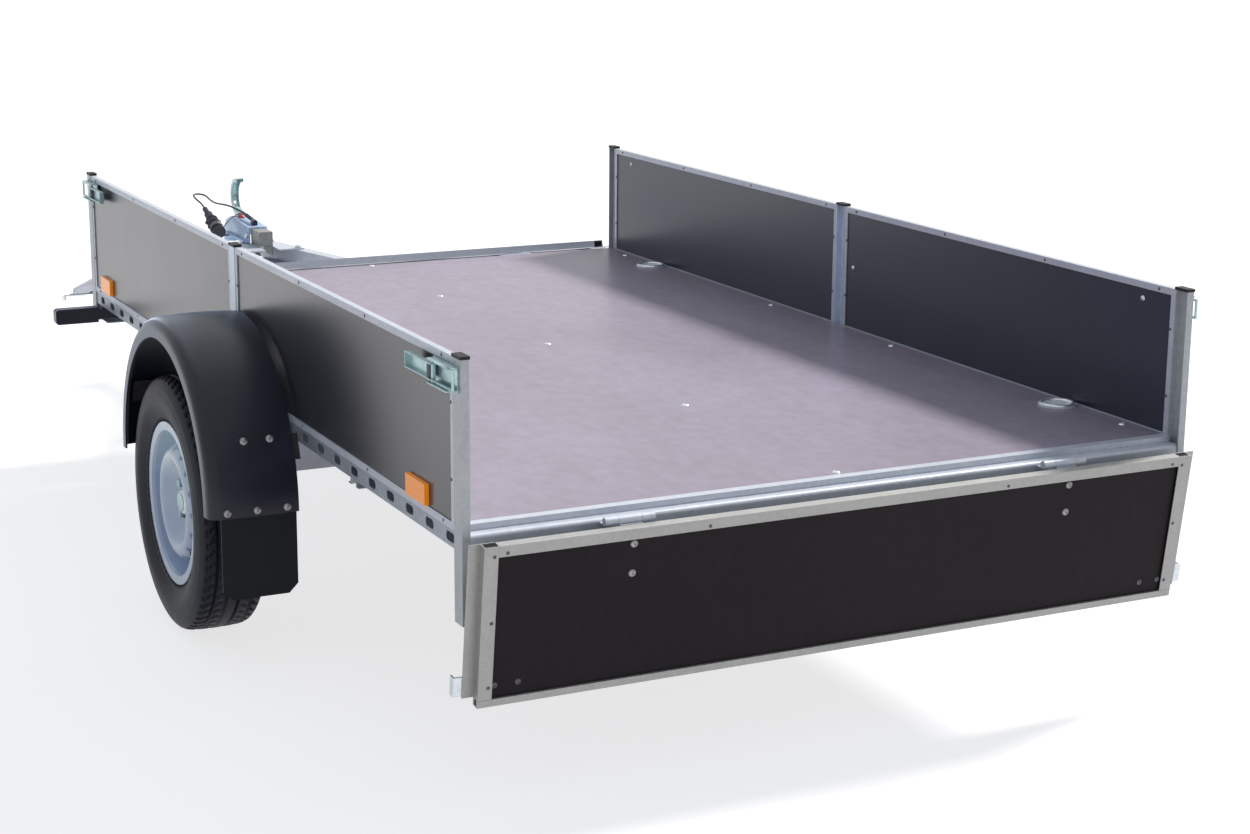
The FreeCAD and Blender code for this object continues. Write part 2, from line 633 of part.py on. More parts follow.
def wheel(side_name, sign):
    """Tyre, rim and hub, turned about the axle; the outer face looks away from the bed."""
    place = (sign * (half + z.wheel_out), axle_y, axle_z,
             Rotation() if sign > 0 else Rotation(Vector(0, 0, 1), 180))
    r = z.tyre_radius
    w = z.tyre_width / 2
    rim_w = z.rim_width / 2
    bead = z.seat_radius
    seat = bead + z.seat_gap
    tyre = body_of("Tyre")
    turned(tyre, [
        (-rim_w + 9, seat), (-rim_w + 9, bead + 14), (-w, r - 62, (-rim_w - 3, bead + 34)),
        (-w + 14, r - 12, (-w + 2, r - 33)), (-w + 34, r - 2), (Size(0), r), (w - 34, r - 2),
        (w - 14, r - 12), (w, r - 62, (w - 2, r - 33)),
        (rim_w - 9, bead + 14, (rim_w + 3, bead + 34)), (rim_w - 9, seat),
        (rim_w - 20, seat), (w - 16, r - 60), (w - 26, r - 14), (-w + 26, r - 14),
        (-w + 16, r - 60), (-rim_w + 20, seat)])
    finish("tyre_" + side_name, group(tyre), place)
    # The rim's barrel and its disc are one turned profile. The disc rises from the well to a round
    # crown near the rim's outer edge and falls back inside it to the flat that the bolts clamp
    rim = body_of("Rim")
    t = z.rim_wall
    f = z.rim_radius
    flat = z.disc_face
    top = z.disc_crown
    c = z.crown_radius
    well = bead - 18
    hub_r = z.hub_radius
    turned(rim, [
        (-rim_w, f - 4), (-rim_w, f), (-rim_w + 4, f), (-rim_w + 5, bead + 3), (-rim_w + 9, bead),
        (-rim_w + 30, bead - 2), (-rim_w + 40, well), (4, well), (14, bead - 2), (rim_w - 9, bead),
        (rim_w - 5, bead + 3), (rim_w - 4, f), (rim_w, f), (rim_w, f - 4), (rim_w - 1, bead - 1),
        (rim_w - 8, bead - t), (17, bead - 2 - t), (8, well - t),
        (flat, c + 40), (top - 14, c + 26), (top - 8, c - 12, (top, c + 6)), (flat + 12, c - 24), (flat + 4, c - 32),
        (flat, c - 40), (flat, hub_r + z.seat_gap), (flat - t, hub_r + z.seat_gap), (flat - t, c - 38),
        (flat + 3 - t, c - 29), (flat + 11 - t, c - 20), (top - 11, c - 9), (top - 17, c + 22, (top - t, c + 6)),
        (flat - t, c + 36), (4 - t, well - t),
        (-rim_w + 38, well - t), (-rim_w + 28, bead - t - 2), (-rim_w + 8, bead - t), (-rim_w + 1, bead - 1)])
    rim_windows(rim)
    finish("rim_" + side_name, group(rim), place)
    hub = body_of("Hub")
    inner = z.stub_radius + z.leg_running / 10
    flange = flat - t - z.seat_gap
    turned(hub, [
        (-z.hub_reach, inner), (-z.hub_reach, hub_r), (flange - 12, hub_r), (flange - 12, z.stud_circle + 16),
        (flange, z.stud_circle + 16), (flange, hub_r - 3), (Size(38), hub_r - 6), (Size(42), hub_r - 10),
        (Size(42), inner)])
    finish("hub_" + side_name, group(hub), place)


def rim_windows(rim):
    """Round vents through the disc, one cut and the rest by a polar pattern."""
    sketch = sketch_on(rim, "YZ_Plane", Size(0))
    ring(sketch, (Size(0), z.rim_window_circle), z.rim_window)
    hole = rim.newObject("PartDesign::Pocket", rim.Name + "Window")
    hole.Profile = sketch
    bind(hole, "Length", z.rim_width / 2)
    hole.Reversed = True
    doc.recompute()
    around = rim.newObject("PartDesign::PolarPattern", rim.Name + "Windows")
    around.Originals = [hole]
    around.Axis = (sketch, ["N_Axis"])
    around.Angle = 360
    around.Occurrences = int(z.rim_window_count.value)
    rim.Tip = around


wheel("left", -1)
wheel("right", 1)

# Axle: a square beam across, trailing arms and stub axles
beam_z = axle_z + z.beam_rise
beam_y = axle_y + z.beam_ahead
half_beam = z.beam_side / 2
beam_end = half - 2 * z.rail_inset
wall = z.beam_wall
beam = body_of("Beam")
pad(beam, "YZ_Plane", [
    (beam_y - half_beam, beam_z - half_beam), (beam_y + half_beam, beam_z - half_beam),
    (beam_y + half_beam, beam_z + half_beam), (beam_y - half_beam, beam_z + half_beam)],
    -beam_end, 2 * beam_end, [[
        (beam_y - half_beam + wall, beam_z - half_beam + wall),
        (beam_y + half_beam - wall, beam_z - half_beam + wall),
        (beam_y + half_beam - wall, beam_z + half_beam - wall),
        (beam_y - half_beam + wall, beam_z + half_beam - wall)]])
finish("axle_beam", beam)
hangers = []
for side in (-1, 1):
    hanger = body_of("Hanger")
    width = z.bracket_length / 2
    middle = side * (rail_out - z.rail_flange / 2)
    along_x(hanger, [
        (beam_y - width, -rail_low), (beam_y - half_beam, beam_z + half_beam),
        (beam_y + half_beam, beam_z + half_beam), (beam_y + width, -rail_low)],
        middle - z.bracket_thickness / 2, middle + z.bracket_thickness / 2)
    hangers.append(hanger)
finish("axle_hangers", group(*hangers))
swing = []
for side in (-1, 1):
    arm = body_of("Arm")
    start = beam_end + z.seat_gap
    w = z.arm_width / 2
    near = side * start if side > 0 else side * (start + z.arm_thickness)
    along_x(arm, [
        (axle_y - w, axle_z - w), (axle_y + w, axle_z - w), (beam_y + w, beam_z - w),
        (beam_y + w, beam_z + w), (beam_y - w, beam_z + w), (axle_y - w, axle_z + w)],
        near, near + z.arm_thickness)
    end = half + z.wheel_out + 30
    stub = rod((side * start if side > 0 else side * end, axle_y, axle_z), z.stub_radius, end - start, "X")
    swing.append(fuse(arm, stub))
finish("swing_arms", group(*swing))

# Mudguards: half a ring, crowned, with a rolled outer edge and a plain inner one
guard_y = axle_y - z.guard_back
guard_z = axle_z + z.guard_rise
guard_in = half + z.guard_gap
guard_out = guard_in + z.guard_width
for side_name, sign in (("left", -1), ("right", 1)):
    guard = body_of("Guard")
    r = z.guard_radius
    wall = z.guard_wall
    crown = r + z.guard_crown
    middle = (guard_in + guard_out) / 2
    round_r = z.guard_round
    inner_r = round_r - wall
    bend = math.sqrt(0.5)
    shoulder = guard_out - round_r
    turned(guard, [
        (guard_in, r - wall), (guard_in, r), (middle, crown), (shoulder, r),
        (guard_out, r - round_r, (shoulder + bend * round_r, r - round_r + bend * round_r)),
        (guard_out, r - round_r - z.guard_lip), (guard_out - wall, r - round_r - z.guard_lip),
        (guard_out - wall, r - round_r),
        (shoulder, r - wall, (shoulder + bend * inner_r, r - round_r + bend * inner_r)),
        (middle, crown - wall)], 180, True)
    place = (Size(0), guard_y, guard_z, Rotation(Vector(0, 0, 1), 180) if sign < 0 else Rotation())
    finish("mudguard_" + side_name, group(guard), place)
flaps = []
for side in (-1, 1):
    flap = body_of("Flap")
    a = guard_in + z.guard_wall
    b = guard_out - z.guard_round
    c = z.flap_corner
    top = guard_z + z.flap_overlap
    low = guard_z - z.flap_drop
    # The flap hangs inside the guard's rear end, bolted through it
    rear = guard_y - z.guard_radius + z.guard_wall + z.flap_inset
    along_y(flap, [(side * p[0], p[1]) for p in (
        (a, low + c), (a + c, low), (b - c, low), (b, low + c), (b, top), (a, top))],
        rear, rear + z.flap_thickness)
    flaps.append(flap)
finish("mud_flaps", group(*flaps))
stays = []
for tilt in (22, 158):
    stay = body_of("Stay")
    r = z.guard_radius - z.guard_wall - z.seat_gap
    a = rail_out + z.seat_gap
    b = guard_out - z.guard_round
    turned(stay, [(a, r), (b, r), (b, r - z.guard_wall), (a, r - z.guard_wall)], z.stay_angle, True)
    stay.Placement = Placement(Vector(0, 0, 0), Rotation(Vector(1, 0, 0), tilt - 90))
    bind(stay, "Placement.Base.y", guard_y)
    bind(stay, "Placement.Base.z", guard_z)
    stays.append(both(stay))
finish("mudguard_stays", group(*stays))

# Drawbar: two square tubes meet at the nose and are mitred along the coupling's tail
spread = math.radians(z.arm_angle.value)
arm_meet_y = ball_y - z.arm_meet_back
arm_rear_y = axle_y + z.beam_ahead - half_beam
arm_length = (arm_meet_y - arm_rear_y) / math.cos(spread)
tail_half = z.tail_width / 2
for side_name, sign in (("left", -1), ("right", 1)):
    tube = body_of("DrawbarArm")
    s = z.arm_tube / 2
    t = z.arm_tube_wall
    top = -z.arm_top
    low = top - z.arm_height
    pad(tube, "XZ_Plane", [(-s, top), (-s, low), (s, low), (s, top)], Size(0), arm_length,
        [[(-s + t, top - t), (-s + t, low + t), (s - t, low + t), (s - t, top - t)]])
    tube.Placement = Placement(Vector(0, 0, 0), Rotation(Vector(0, 0, 1), sign * z.arm_angle.value))
    bind(tube, "Placement.Base.x", sign * z.arm_meet)
    bind(tube, "Placement.Base.y", arm_meet_y)
    far = sign * (tail_half + z.seat_gap)
    near = -sign * z.arm_tube * 1.5
    a, b = (near, far) if sign > 0 else (far, near)
    miter = box((a, ball_y - z.tail_back, low - 1), (b, ball_y, top + 1))
    finish("drawbar_arm_" + side_name, cut(tube, miter))
plates = []
for sign in (-1, 1):
    for low in (-z.arm_top, -z.arm_top - z.arm_height - z.nose_plate):
        plate = body_of("NosePlate")
        rear = ball_y - z.nose_plate_back
        front = rear + z.nose_plate_length
        inner = tail_half + z.seat_gap
        along_z(plate, [(sign * inner, rear), (sign * z.nose_plate_width / 2, rear),
                        (sign * z.nose_plate_tip / 2, front), (sign * inner, front)], low, low + z.nose_plate)
        plates.append(plate)
finish("nose_plates", group(*plates))

# The coupling's tail: a deep inverted channel, its rear end closed in the upper part
tail_rear = ball_y - z.tail_back
tail_top = z.tail_rise - z.arm_top
tail_low = tail_top - z.tail_depth
t = z.tail_wall
tail_front = ball_y - z.head_back + z.head_wall
shell = box((-tail_half, tail_rear, tail_low), (tail_half, tail_front, tail_top))
hollow = box((t - tail_half, tail_rear + t, tail_low - 1), (tail_half - t, tail_front + 1, tail_top - t))
doorway = box((t - tail_half, tail_rear - 1, tail_low - 1), (tail_half - t, tail_rear + t + 1, tail_top - z.tail_closed))
finish("coupling_tail", cut(shell, hollow, doorway))

# The coupling head: a pressed hood with a lip below, and the socket's dome over the ball
ball_z = -z.ball_drop
head_half = z.head_width / 2
head_rear = ball_y - z.head_back
t = z.head_wall
outer_r = z.ball_radius + z.socket_wall
roof = tail_top + t + z.seat_gap


def hood_body():
    hood = body_of("Hood")
    along_x(hood, [
        (head_rear, -z.head_low), (head_rear, roof), (ball_y - z.head_high_back, -z.head_high),
        (ball_y - z.head_fall_back, -z.head_fall), (ball_y, -z.head_front), (ball_y, -z.head_low)],
        -head_half, head_half)
    return hood


inside = body_of("HoodInside")
inner_end = ball_y - outer_r - 3
along_x(inside, [
    (head_rear - 1, -z.head_low - 1), (head_rear - 1, roof - t), (ball_y - z.head_high_back - t, -z.head_high - t),
    (inner_end, -z.head_fall - t), (inner_end, -z.head_low - 1)], t - head_half, head_half - t)
lip = box((-head_half - z.head_lip, head_rear, -z.head_low), (head_half + z.head_lip, ball_y - 40, t - z.head_low))


def ball_of(radius):
    ball = doc.addObject("Part::Sphere", "Ball")
    bind(ball, "Radius", radius)
    for axis, place in zip("xyz", (Size(0), ball_y, ball_z)):
        bind(ball, "Placement.Base." + axis, place)
    return ball


dome = ball_of(outer_r)
dome.Angle1 = 0
collar = rod((Size(0), ball_y, ball_z - z.socket_depth), outer_r, z.socket_depth, "Z")
mouth = rod((Size(0), ball_y, ball_z - z.socket_depth), z.ball_radius, z.socket_depth, "Z")
finish("coupling_head", cut(fuse(hood_body(), lip, dome, collar), inside, ball_of(z.ball_radius), mouth))

# Handle, a U section swept up in a curve and open to the rear
grip = z.handle_width / 2
bend_y = ball_y - z.handle_back
bend_z = z.handle_centre
bend_r = z.handle_bend
bend_in = bend_r - z.handle_depth


def round_bend(radius, degrees):
    angle = math.radians(degrees)
    return bend_y + math.cos(angle) * radius, bend_z + math.sin(angle) * radius


curve = body_of("Handle")
foot_y, foot_z = round_bend(bend_r, -80)
heel_z = round_bend(bend_in, -80)[1]
along_x(curve, [
    (foot_y - 28, foot_z - 8), (foot_y, foot_z - 8), (foot_y, foot_z), round_bend(bend_r, 97) + (round_bend(bend_r, 0),),
    round_bend(bend_in, 97), round_bend(bend_in, -80) + (round_bend(bend_in, 0),), (foot_y - 28, heel_z)],
    -grip, grip)
trough = body_of("Trough")
web_r = bend_r - z.handle_wall
along_x(trough, [
    round_bend(web_r, -50), round_bend(web_r, 110) + (round_bend(web_r, 0),),
    round_bend(bend_in - 5, 110), round_bend(bend_in - 5, -50) + (round_bend(bend_in - 5, 0),)],
    z.handle_wall - grip, grip - z.handle_wall)
eye = rod((Size(0), bend_y + 20, bend_z - 25), z.handle_hole, bend_r, "Y")
finish("coupling_handle", cut(curve, trough, eye, hood_body()))


def tube_along(points, radius):
    """A round tube along straight runs joined by tangent arcs."""
    places = [Vector(*p) for p in points]
    edges = []
    here = places[0]
    radii = []
    for before, corner, after in zip(places, places[1:], places[2:]):
        back = before - corner
        ahead = after - corner
        reach = 0.45 * min(back.Length, ahead.Length)
        turn = math.pi - back.getAngle(ahead)
        bend = reach / math.tan(turn / 2)
        radii.append(round(bend, 1))
        back.normalize()
        ahead.normalize()
        start = corner + back * reach
        end = corner + ahead * reach
        centre = corner + (back + ahead).normalize() * math.hypot(reach, bend)
        middle = centre + (corner - centre).normalize() * bend
        edges.append(Part.LineSegment(here, start).toShape())
        edges.append(Part.Arc(start, middle, end).toShape())
        here = end
    edges.append(Part.LineSegment(here, places[-1]).toShape())
    route = Part.Wire(edges)
    section = Part.Wire(Part.makeCircle(radius, places[0], places[1] - places[0]))
    solid = route.makePipeShell([section], True, False)
    print("tube %.0f mm long, radii %s, volume ratio %.4f"
          % (route.Length, radii, solid.Volume / (route.Length * math.pi * radius ** 2)))
    thing = doc.addObject("Part::Feature", "Tube")
    thing.Shape = solid
    return thing


def beside_ball(thing):
    """Moves a piece, made with the ball's place as its origin, to the ball."""
    held = group(thing)
    bind(held, "Placement.Base.y", ball_y)
    return group(held)


# Strain relief, lead and plug, all placed from the ball; the lead loops forward over the ball's place
relief_end = Vector(0, -159, -14)
relief_along = Vector(0, 101, 10).normalize()
lead_points = [
    (1.8, -159, -14), (1.8, -128, -10.93), (-27, -92, 6), (-41, -38, 8), (-50, 32, 3), (-51, 93, 8),
    (-52, 139, 17), (-74.5, 151, 22), (-97, 139, 20), (-97, 97, 11), (-87.3, 59.3, -1.35), (-86, 31, -14)]
tether_points = [
    (-3.4, -159, -14), (-3.4, -144, -12.5), (-23, -131, -13), (-42, -117, -30), (-53, -101, -50), (-64, -88, -67)]
plug_along = (Vector(*lead_points[-2]) - Vector(*lead_points[-1])).normalize()
plug_start = Vector(*lead_points[-1]) - plug_along * z.plug_length.value


def coaxial(solids, start, along):
    held = group(*solids)
    held.Placement = Placement(start, Rotation(Vector(0, 0, 1), along))
    return held


base = (Size(0), Size(0))
r = z.relief_radius
ribs = [rod(base + (Size(0),), r, Size(34), "Z"), rod(base + (Size(34),), r - 1.5, z.relief_length - 34, "Z")]
for i in range(9):
    ribs.append(rod(base + (Size(38 + 7 * i),), r, Size(3.5), "Z"))
ribs.append(rod(base + (z.relief_length - 4,), r, Size(4), "Z"))
relief = coaxial([fuse(*ribs)], relief_end - relief_along * z.relief_length.value, relief_along)
pedestal = cut(box((Size(-9), ball_y - 254, Size(-40)), (Size(9), ball_y - 232, Size(-25))), hood_body())
finish("strain_relief", fuse(pedestal, beside_ball(relief)))
finish("lead", beside_ball(tube_along(lead_points, z.lead_radius.value)))


def plug_solid():
    r = z.plug_radius
    long = z.plug_length
    body = fuse(
        rod(base + (Size(-7),), r + 4, Size(7), "Z"), rod(base + (Size(0),), r, Size(78), "Z"),
        rod(base + (Size(44),), r + 2.5, Size(22), "Z"), rod(base + (Size(78),), r - 5, Size(34), "Z"),
        rod(base + (Size(112),), r - 10, long - 112, "Z"))
    return beside_ball(coaxial([body], plug_start, plug_along))


finish("plug", plug_solid())
finish("tether", cut(beside_ball(tube_along(tether_points, z.tether_radius.value)), plug_solid()))

# The plug's holder: a ring on a strap bolted under the coupling's lip
ring_low = 18
collar_out = rod(base + (Size(ring_low),), z.plug_radius + 4, Size(16), "Z")
collar_in = rod(base + (Size(ring_low - 1),), z.plug_radius + z.seat_gap, Size(18), "Z")
hoop = beside_ball(coaxial([cut(collar_out, collar_in)], plug_start, plug_along))
centre = plug_start + plug_along * (ring_low + 8)
strap = box((Size(centre.x - 6), ball_y + centre.y - 9, -z.head_low - t), (-head_half - 2, ball_y + centre.y + 9, -z.head_low))
riser = box((Size(centre.x - 6), ball_y + centre.y - 9, -z.head_low - t),
            (Size(centre.x + 6), ball_y + centre.y + 9, Size(centre.z - z.plug_radius.value - 1)))
keep_out = beside_ball(coaxial([rod(base + (Size(-8),), z.plug_radius + z.seat_gap, Size(90), "Z")], plug_start, plug_along))
finish("plug_holder", cut(fuse(hoop, strap, riser), keep_out))

# Prop leg: a square leg on a pin between two cheeks under the drawbar
leg_y = z.bed_length + z.leg_ahead
arm_low = -z.arm_top - z.arm_height
leg_z = arm_low - z.leg_pin_drop
s = z.leg_section / 2
inner = s + z.leg_running
cheeks = both(box((inner, leg_y - 24, leg_z - s), (inner + z.leg_cheek, leg_y + 24, arm_low)))
bridge = box((-z.leg_bridge, leg_y - 30, arm_low - z.nose_plate), (z.leg_bridge, leg_y + 30, arm_low))
pin = rod((-inner - z.leg_cheek - 4, leg_y, leg_z), z.leg_pin_radius, 2 * (inner + z.leg_cheek + 4), "X")
finish("prop_bracket", fuse(cheeks, bridge, pin))
ground = -z.deck_height
t = z.leg_wall
foot_top = ground + z.leg_foot_plate
tube = box((-s, leg_y - s, foot_top), (s, leg_y + s, leg_z + s))
hole = box((t - s, leg_y - s + t, foot_top - 1), (s - t, leg_y + s - t, leg_z + s + 1))
bore = rod((-s - 1, leg_y, leg_z), z.leg_pin_radius + z.leg_running / 2, 2 * s + 2, "X")
foot = box((-z.leg_foot / 2, leg_y - z.leg_foot / 2, ground), (z.leg_foot / 2, leg_y + z.leg_foot / 2, foot_top))
finish("prop_leg", cut(fuse(tube, foot), hole, bore))

# Reflectors on the panels, lamps, and the markers on arms under the front corners
reflectors = []
for y in (z.reflector_from_rear, z.bed_length - z.reflector_from_front):
    w = z.reflector_length / 2
    reflectors.append(both(box((panel_face + z.seat_gap, y - w, z.reflector_low),
                               (panel_face + z.reflector_depth, y + w, z.reflector_low + z.reflector_height))))
finish("side_reflectors", group(*reflectors))
bar_z = z.lamp_bar_rise - z.rear_post_drop
bar_x = post_in - z.seat_gap
finish("lamp_bar", group(box((-bar_x, z.lamp_bar_back, bar_z),
                             (bar_x, z.lamp_bar_back + z.lamp_bar_depth, bar_z + z.lamp_bar_height))))
lamp_out = post_in - z.lamp_inset
finish("rear_lamps", both(box((lamp_out - z.lamp_width, Size(2), bar_z + z.lamp_margin),
                              (lamp_out, z.lamp_bar_back - z.seat_gap, bar_z + z.lamp_bar_height - z.lamp_margin))))
marker = body_of("Marker")
a = half + z.marker_gap
b = a + z.marker_reach
c = z.marker_round
bend = (1 - math.sqrt(0.5)) * c
marker_end = z.bed_length - z.marker_from_front
along_y(marker, [
    (a, -z.marker_top), (a, -z.marker_low), (b - c, -z.marker_low),
    (b, -z.marker_low + c, (b - bend, -z.marker_low + bend)), (b, -z.marker_top - c),
    (b - c, -z.marker_top, (b - bend, -z.marker_top - bend))], marker_end - z.marker_depth, marker_end)
bracket = box((a - z.marker_arm, marker_end - z.marker_depth + 6, -z.marker_low + 8), (a, marker_end - 6, -z.marker_top - 8))
hold = box((a - z.marker_arm + 12, marker_end - z.marker_depth + 6, -z.marker_top - 9),
           (rail_out - 4, marker_end - 6, -rail_low))
finish("marker_lamps", both(fuse(marker, bracket, hold)))

# Lashing pans let into the floor, each with a bar across
pans = []
for x, y in pan_spots:
    low = z.seat_gap - z.floor_thickness
    flange = rod((x, y, Size(0)), z.pan_radius, z.pan_height, "Z")
    bowl = rod((x, y, low), z.pan_bowl, -low, "Z")
    hollow = rod((x, y, low + z.pan_wall), z.pan_bowl - z.pan_wall, z.pan_height + z.floor_thickness, "Z")
    bar = rod((x - z.pan_bowl, y, z.pan_height / 2 - z.pan_bar), z.pan_bar, 2 * z.pan_bowl, "X")
    pans.append(fuse(cut(fuse(flange, bowl), hollow), bar))
finish("lashing_pans", group(*pans))

doc.recompute()
for thing in doc.Objects:
    if "Invalid" in thing.State or "Error" in thing.State:
        raise RuntimeError("%s (%s) failed: %s" % (thing.Name, thing.Label, thing.getStatusString()))
os.makedirs("parts", exist_ok=True)
total = 0
for label, thing in finished.items():
    shape = thing.Shape
    if shape.isNull() or not shape.isValid() or not shape.Solids:
        raise RuntimeError("%s has no valid solid" % label)
    shape.exportStep("parts/%s.step" % label)
    total += 1
whole = Part.makeCompound([thing.Shape for thing in finished.values()])
print("%d sub-parts, box %s" % (total, whole.BoundBox))
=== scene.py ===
# %% [markdown]
# # A utility trailer, dressed in Blender
# The trailer is a flat plywood bed on one axle, with two side walls and a board hinged at each end.
# Its shapes arrive as solids in one shared frame, in metres. This lesson gives them their finishes,
# replaces the plain tyres with treaded ones and the mudguards with smooth ones, and adds the small
# hardware that shows in a photograph: bolt heads, screws, hub caps, valves and a lead with its real
# length. Every surface is a formula on a grid, so that each one can be changed by a number.

# %% Load the frame
import json
import math

import bmesh
import bpy
import numpy as np
from mathutils import Matrix, Vector


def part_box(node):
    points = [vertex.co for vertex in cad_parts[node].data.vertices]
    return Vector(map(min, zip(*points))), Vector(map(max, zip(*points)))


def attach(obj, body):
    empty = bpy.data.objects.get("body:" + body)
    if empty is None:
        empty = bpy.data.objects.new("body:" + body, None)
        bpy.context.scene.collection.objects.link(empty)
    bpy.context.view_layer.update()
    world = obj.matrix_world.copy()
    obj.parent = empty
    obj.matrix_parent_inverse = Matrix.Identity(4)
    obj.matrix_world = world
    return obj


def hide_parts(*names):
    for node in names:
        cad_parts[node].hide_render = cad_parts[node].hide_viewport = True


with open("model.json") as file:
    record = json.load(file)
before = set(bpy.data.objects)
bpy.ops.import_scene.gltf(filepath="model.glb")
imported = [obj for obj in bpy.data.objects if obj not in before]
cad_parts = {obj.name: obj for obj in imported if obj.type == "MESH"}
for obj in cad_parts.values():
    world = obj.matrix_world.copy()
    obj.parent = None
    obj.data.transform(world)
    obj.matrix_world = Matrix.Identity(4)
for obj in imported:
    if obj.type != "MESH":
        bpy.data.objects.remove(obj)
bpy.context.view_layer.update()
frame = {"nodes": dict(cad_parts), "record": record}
nodes = frame["nodes"]

# %% [markdown]
# ## Places on the bed
# A trailer builder measures from the bed: across from its middle, forward from the rear posts and
# up from the top of the floor. The frame has its origin on the ground, so one small function turns
# a bed place into a frame place. It reads the two shifts from the solids and so can't drift.

# %% Bed places
sides = (("left", -1), ("right", 1))
head_beyond_ball = 0.0304
floor_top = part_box("floor")[1].z
bed_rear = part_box("corner_posts")[0].y
bed_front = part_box("corner_posts")[1].y
bed_length = bed_front - bed_rear
ball_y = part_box("coupling_head")[1].y - head_beyond_ball - bed_rear


def bed(x, y, up):
    """A place measured from the bed, moved to the frame: y plus the rear, up plus the floor's top."""
    return np.array((x, y + bed_rear, up + floor_top))


print("bed %.3f long, ball %.3f ahead of the rear posts" % (bed_length, ball_y))

# %% [markdown]
# ## The camera
# The photograph was taken from behind the left rear corner at about eye height. The corners of the
# bed, the posts and the wheel fix the lens and the place: a 66 mm lens on a 36 mm wide sensor,
# turned 26.5 degrees to the right and 13.5 degrees down, with less than half a degree of roll.

# %% Camera
yaw = math.radians(26.473)
pitch = math.radians(13.469)
roll = math.radians(0.438)
camera_place = (-2.2738, -5.5794, 1.6744)
look = Vector((math.sin(yaw) * math.cos(pitch), math.cos(yaw) * math.cos(pitch), -math.sin(pitch)))
level_right = Vector((math.cos(yaw), -math.sin(yaw), 0))
level_up = level_right.cross(look)
right = level_right * math.cos(roll) + level_up * math.sin(roll)
up = level_up * math.cos(roll) - level_right * math.sin(roll)
camera = bpy.data.objects.new("camera", bpy.data.cameras.new("camera"))
camera.data.lens = 66.36
camera.data.sensor_width = 36
camera.data.clip_end = 60
turn = Matrix((right, up, -look)).transposed()
camera.matrix_world = Matrix.Translation(camera_place) @ turn.to_4x4()
bpy.context.scene.collection.objects.link(camera)
bpy.context.scene.camera = camera
print("camera at", tuple(round(v, 2) for v in camera.location))

# %% [markdown]
# ## Making a mesh from arrays
# Every new piece is a grid of points with faces between them. One helper turns the arrays into a
# mesh, merges the points that meet at seams and poles, and points the faces outwards. Another
# gives the faces of a grid that may close on itself one way or both ways.

# %% Mesh helpers
finishes = {}
merge_within = 1e-6
collapse_within = 1e-7


def grid_faces(rows, columns, close_rows=False, close_columns=False):
    """Quads between neighbours of a grid of points, numbered row by row."""
    r = np.arange(rows if close_rows else rows - 1)
    c = np.arange(columns if close_columns else columns - 1)
    r, c = [a.ravel() for a in np.meshgrid(r, c, indexing="ij")]
    here, after = r * columns, (r + 1) % rows * columns
    beside = (c + 1) % columns
    return np.stack((here + c, here + beside, after + beside, after + c), 1)


def piece_of(name, points, faces, finish, body, sharp_above=35):
    """A mesh object that rides on a body and takes a finish, smooth up to an angle in degrees."""
    mesh = bpy.data.meshes.new(name)
    mesh.from_pydata([tuple(p) for p in np.reshape(points, (-1, 3))], [], [tuple(f) for f in faces])
    work = bmesh.new()
    work.from_mesh(mesh)
    bmesh.ops.remove_doubles(work, verts=work.verts, dist=merge_within)
    bmesh.ops.dissolve_degenerate(work, edges=work.edges, dist=collapse_within)
    bmesh.ops.recalc_face_normals(work, faces=work.faces)
    work.to_mesh(mesh)
    work.free()
    thing = bpy.data.objects.new(name, mesh)
    bpy.context.scene.collection.objects.link(thing)
    mesh.shade_smooth()
    mesh.set_sharp_from_angle(angle=math.radians(sharp_above))
    material, slot = finishes[finish]
    mesh.materials.append(material)
    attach(thing, body)
    return thing


def repeated(faces, per_copy, copies):
    """The same faces for every copy, each copy's points following the last one's."""
    return (faces[None] + per_copy * np.arange(copies)[:, None, None]).reshape(-1, faces.shape[1])


def across(axis):
    """An axis of length 1 and two unit directions at right angles to it and to each other."""
    nearly_upright = 0.9
    axis = np.array(axis, float) / np.linalg.norm(axis)
    helper = (0, 0, 1) if abs(axis[2]) < nearly_upright else (0, 1, 0)
    side = np.cross(axis, helper)
    side = side / np.linalg.norm(side)
    return axis, side, np.cross(axis, side)


def lathed(profile, places, axis, steps):
    """Points of a turned shape at each place: place + h axis + r (cos a side + sin a rise).

    The profile is a list of (r, h) and a runs once round in equal steps."""
    axis, side, rise = across(axis)
    r, h = np.array(profile, float).T
    a = np.linspace(0, 2 * np.pi, steps, endpoint=False)
    ring = np.cos(a)[:, None] * side + np.sin(a)[:, None] * rise
    shape = h[:, None, None] * axis + r[:, None, None] * ring[None]
    return np.array(places, float)[:, None, None, :] + shape[None]


def turned_pieces(name, profile, places, axis, finish, body, steps=16):
    """One mesh of the same turned shape at several places."""
    points = lathed(profile, places, axis, steps)
    one = grid_faces(len(profile), steps, close_columns=True)
    faces = repeated(one, len(profile) * steps, len(points))
    return piece_of(name, points, faces, finish, body)


# %% [markdown]
# ## A starting point for finishes
# Each finish is a principled shader fed by a pattern in object coordinates. The pattern is real
# here: zinc has spangles, plywood film has a fine grain and long streaks, and moulded plastic is
# faintly pebbled. A few helpers keep each finish short.

# %% Finish helpers
def finish_of(name, slot, colour, metallic, roughness):
    """A new material with its principled shader, registered under its name."""
    material = bpy.data.materials.new(name)
    material.use_nodes = True
    tree = material.node_tree
    shader = tree.nodes["Principled BSDF"]
    shader.inputs["Base Color"].default_value = (*colour, 1)
    shader.inputs["Metallic"].default_value = metallic
    shader.inputs["Roughness"].default_value = roughness
    finishes[name] = (material, slot)
    return tree, shader


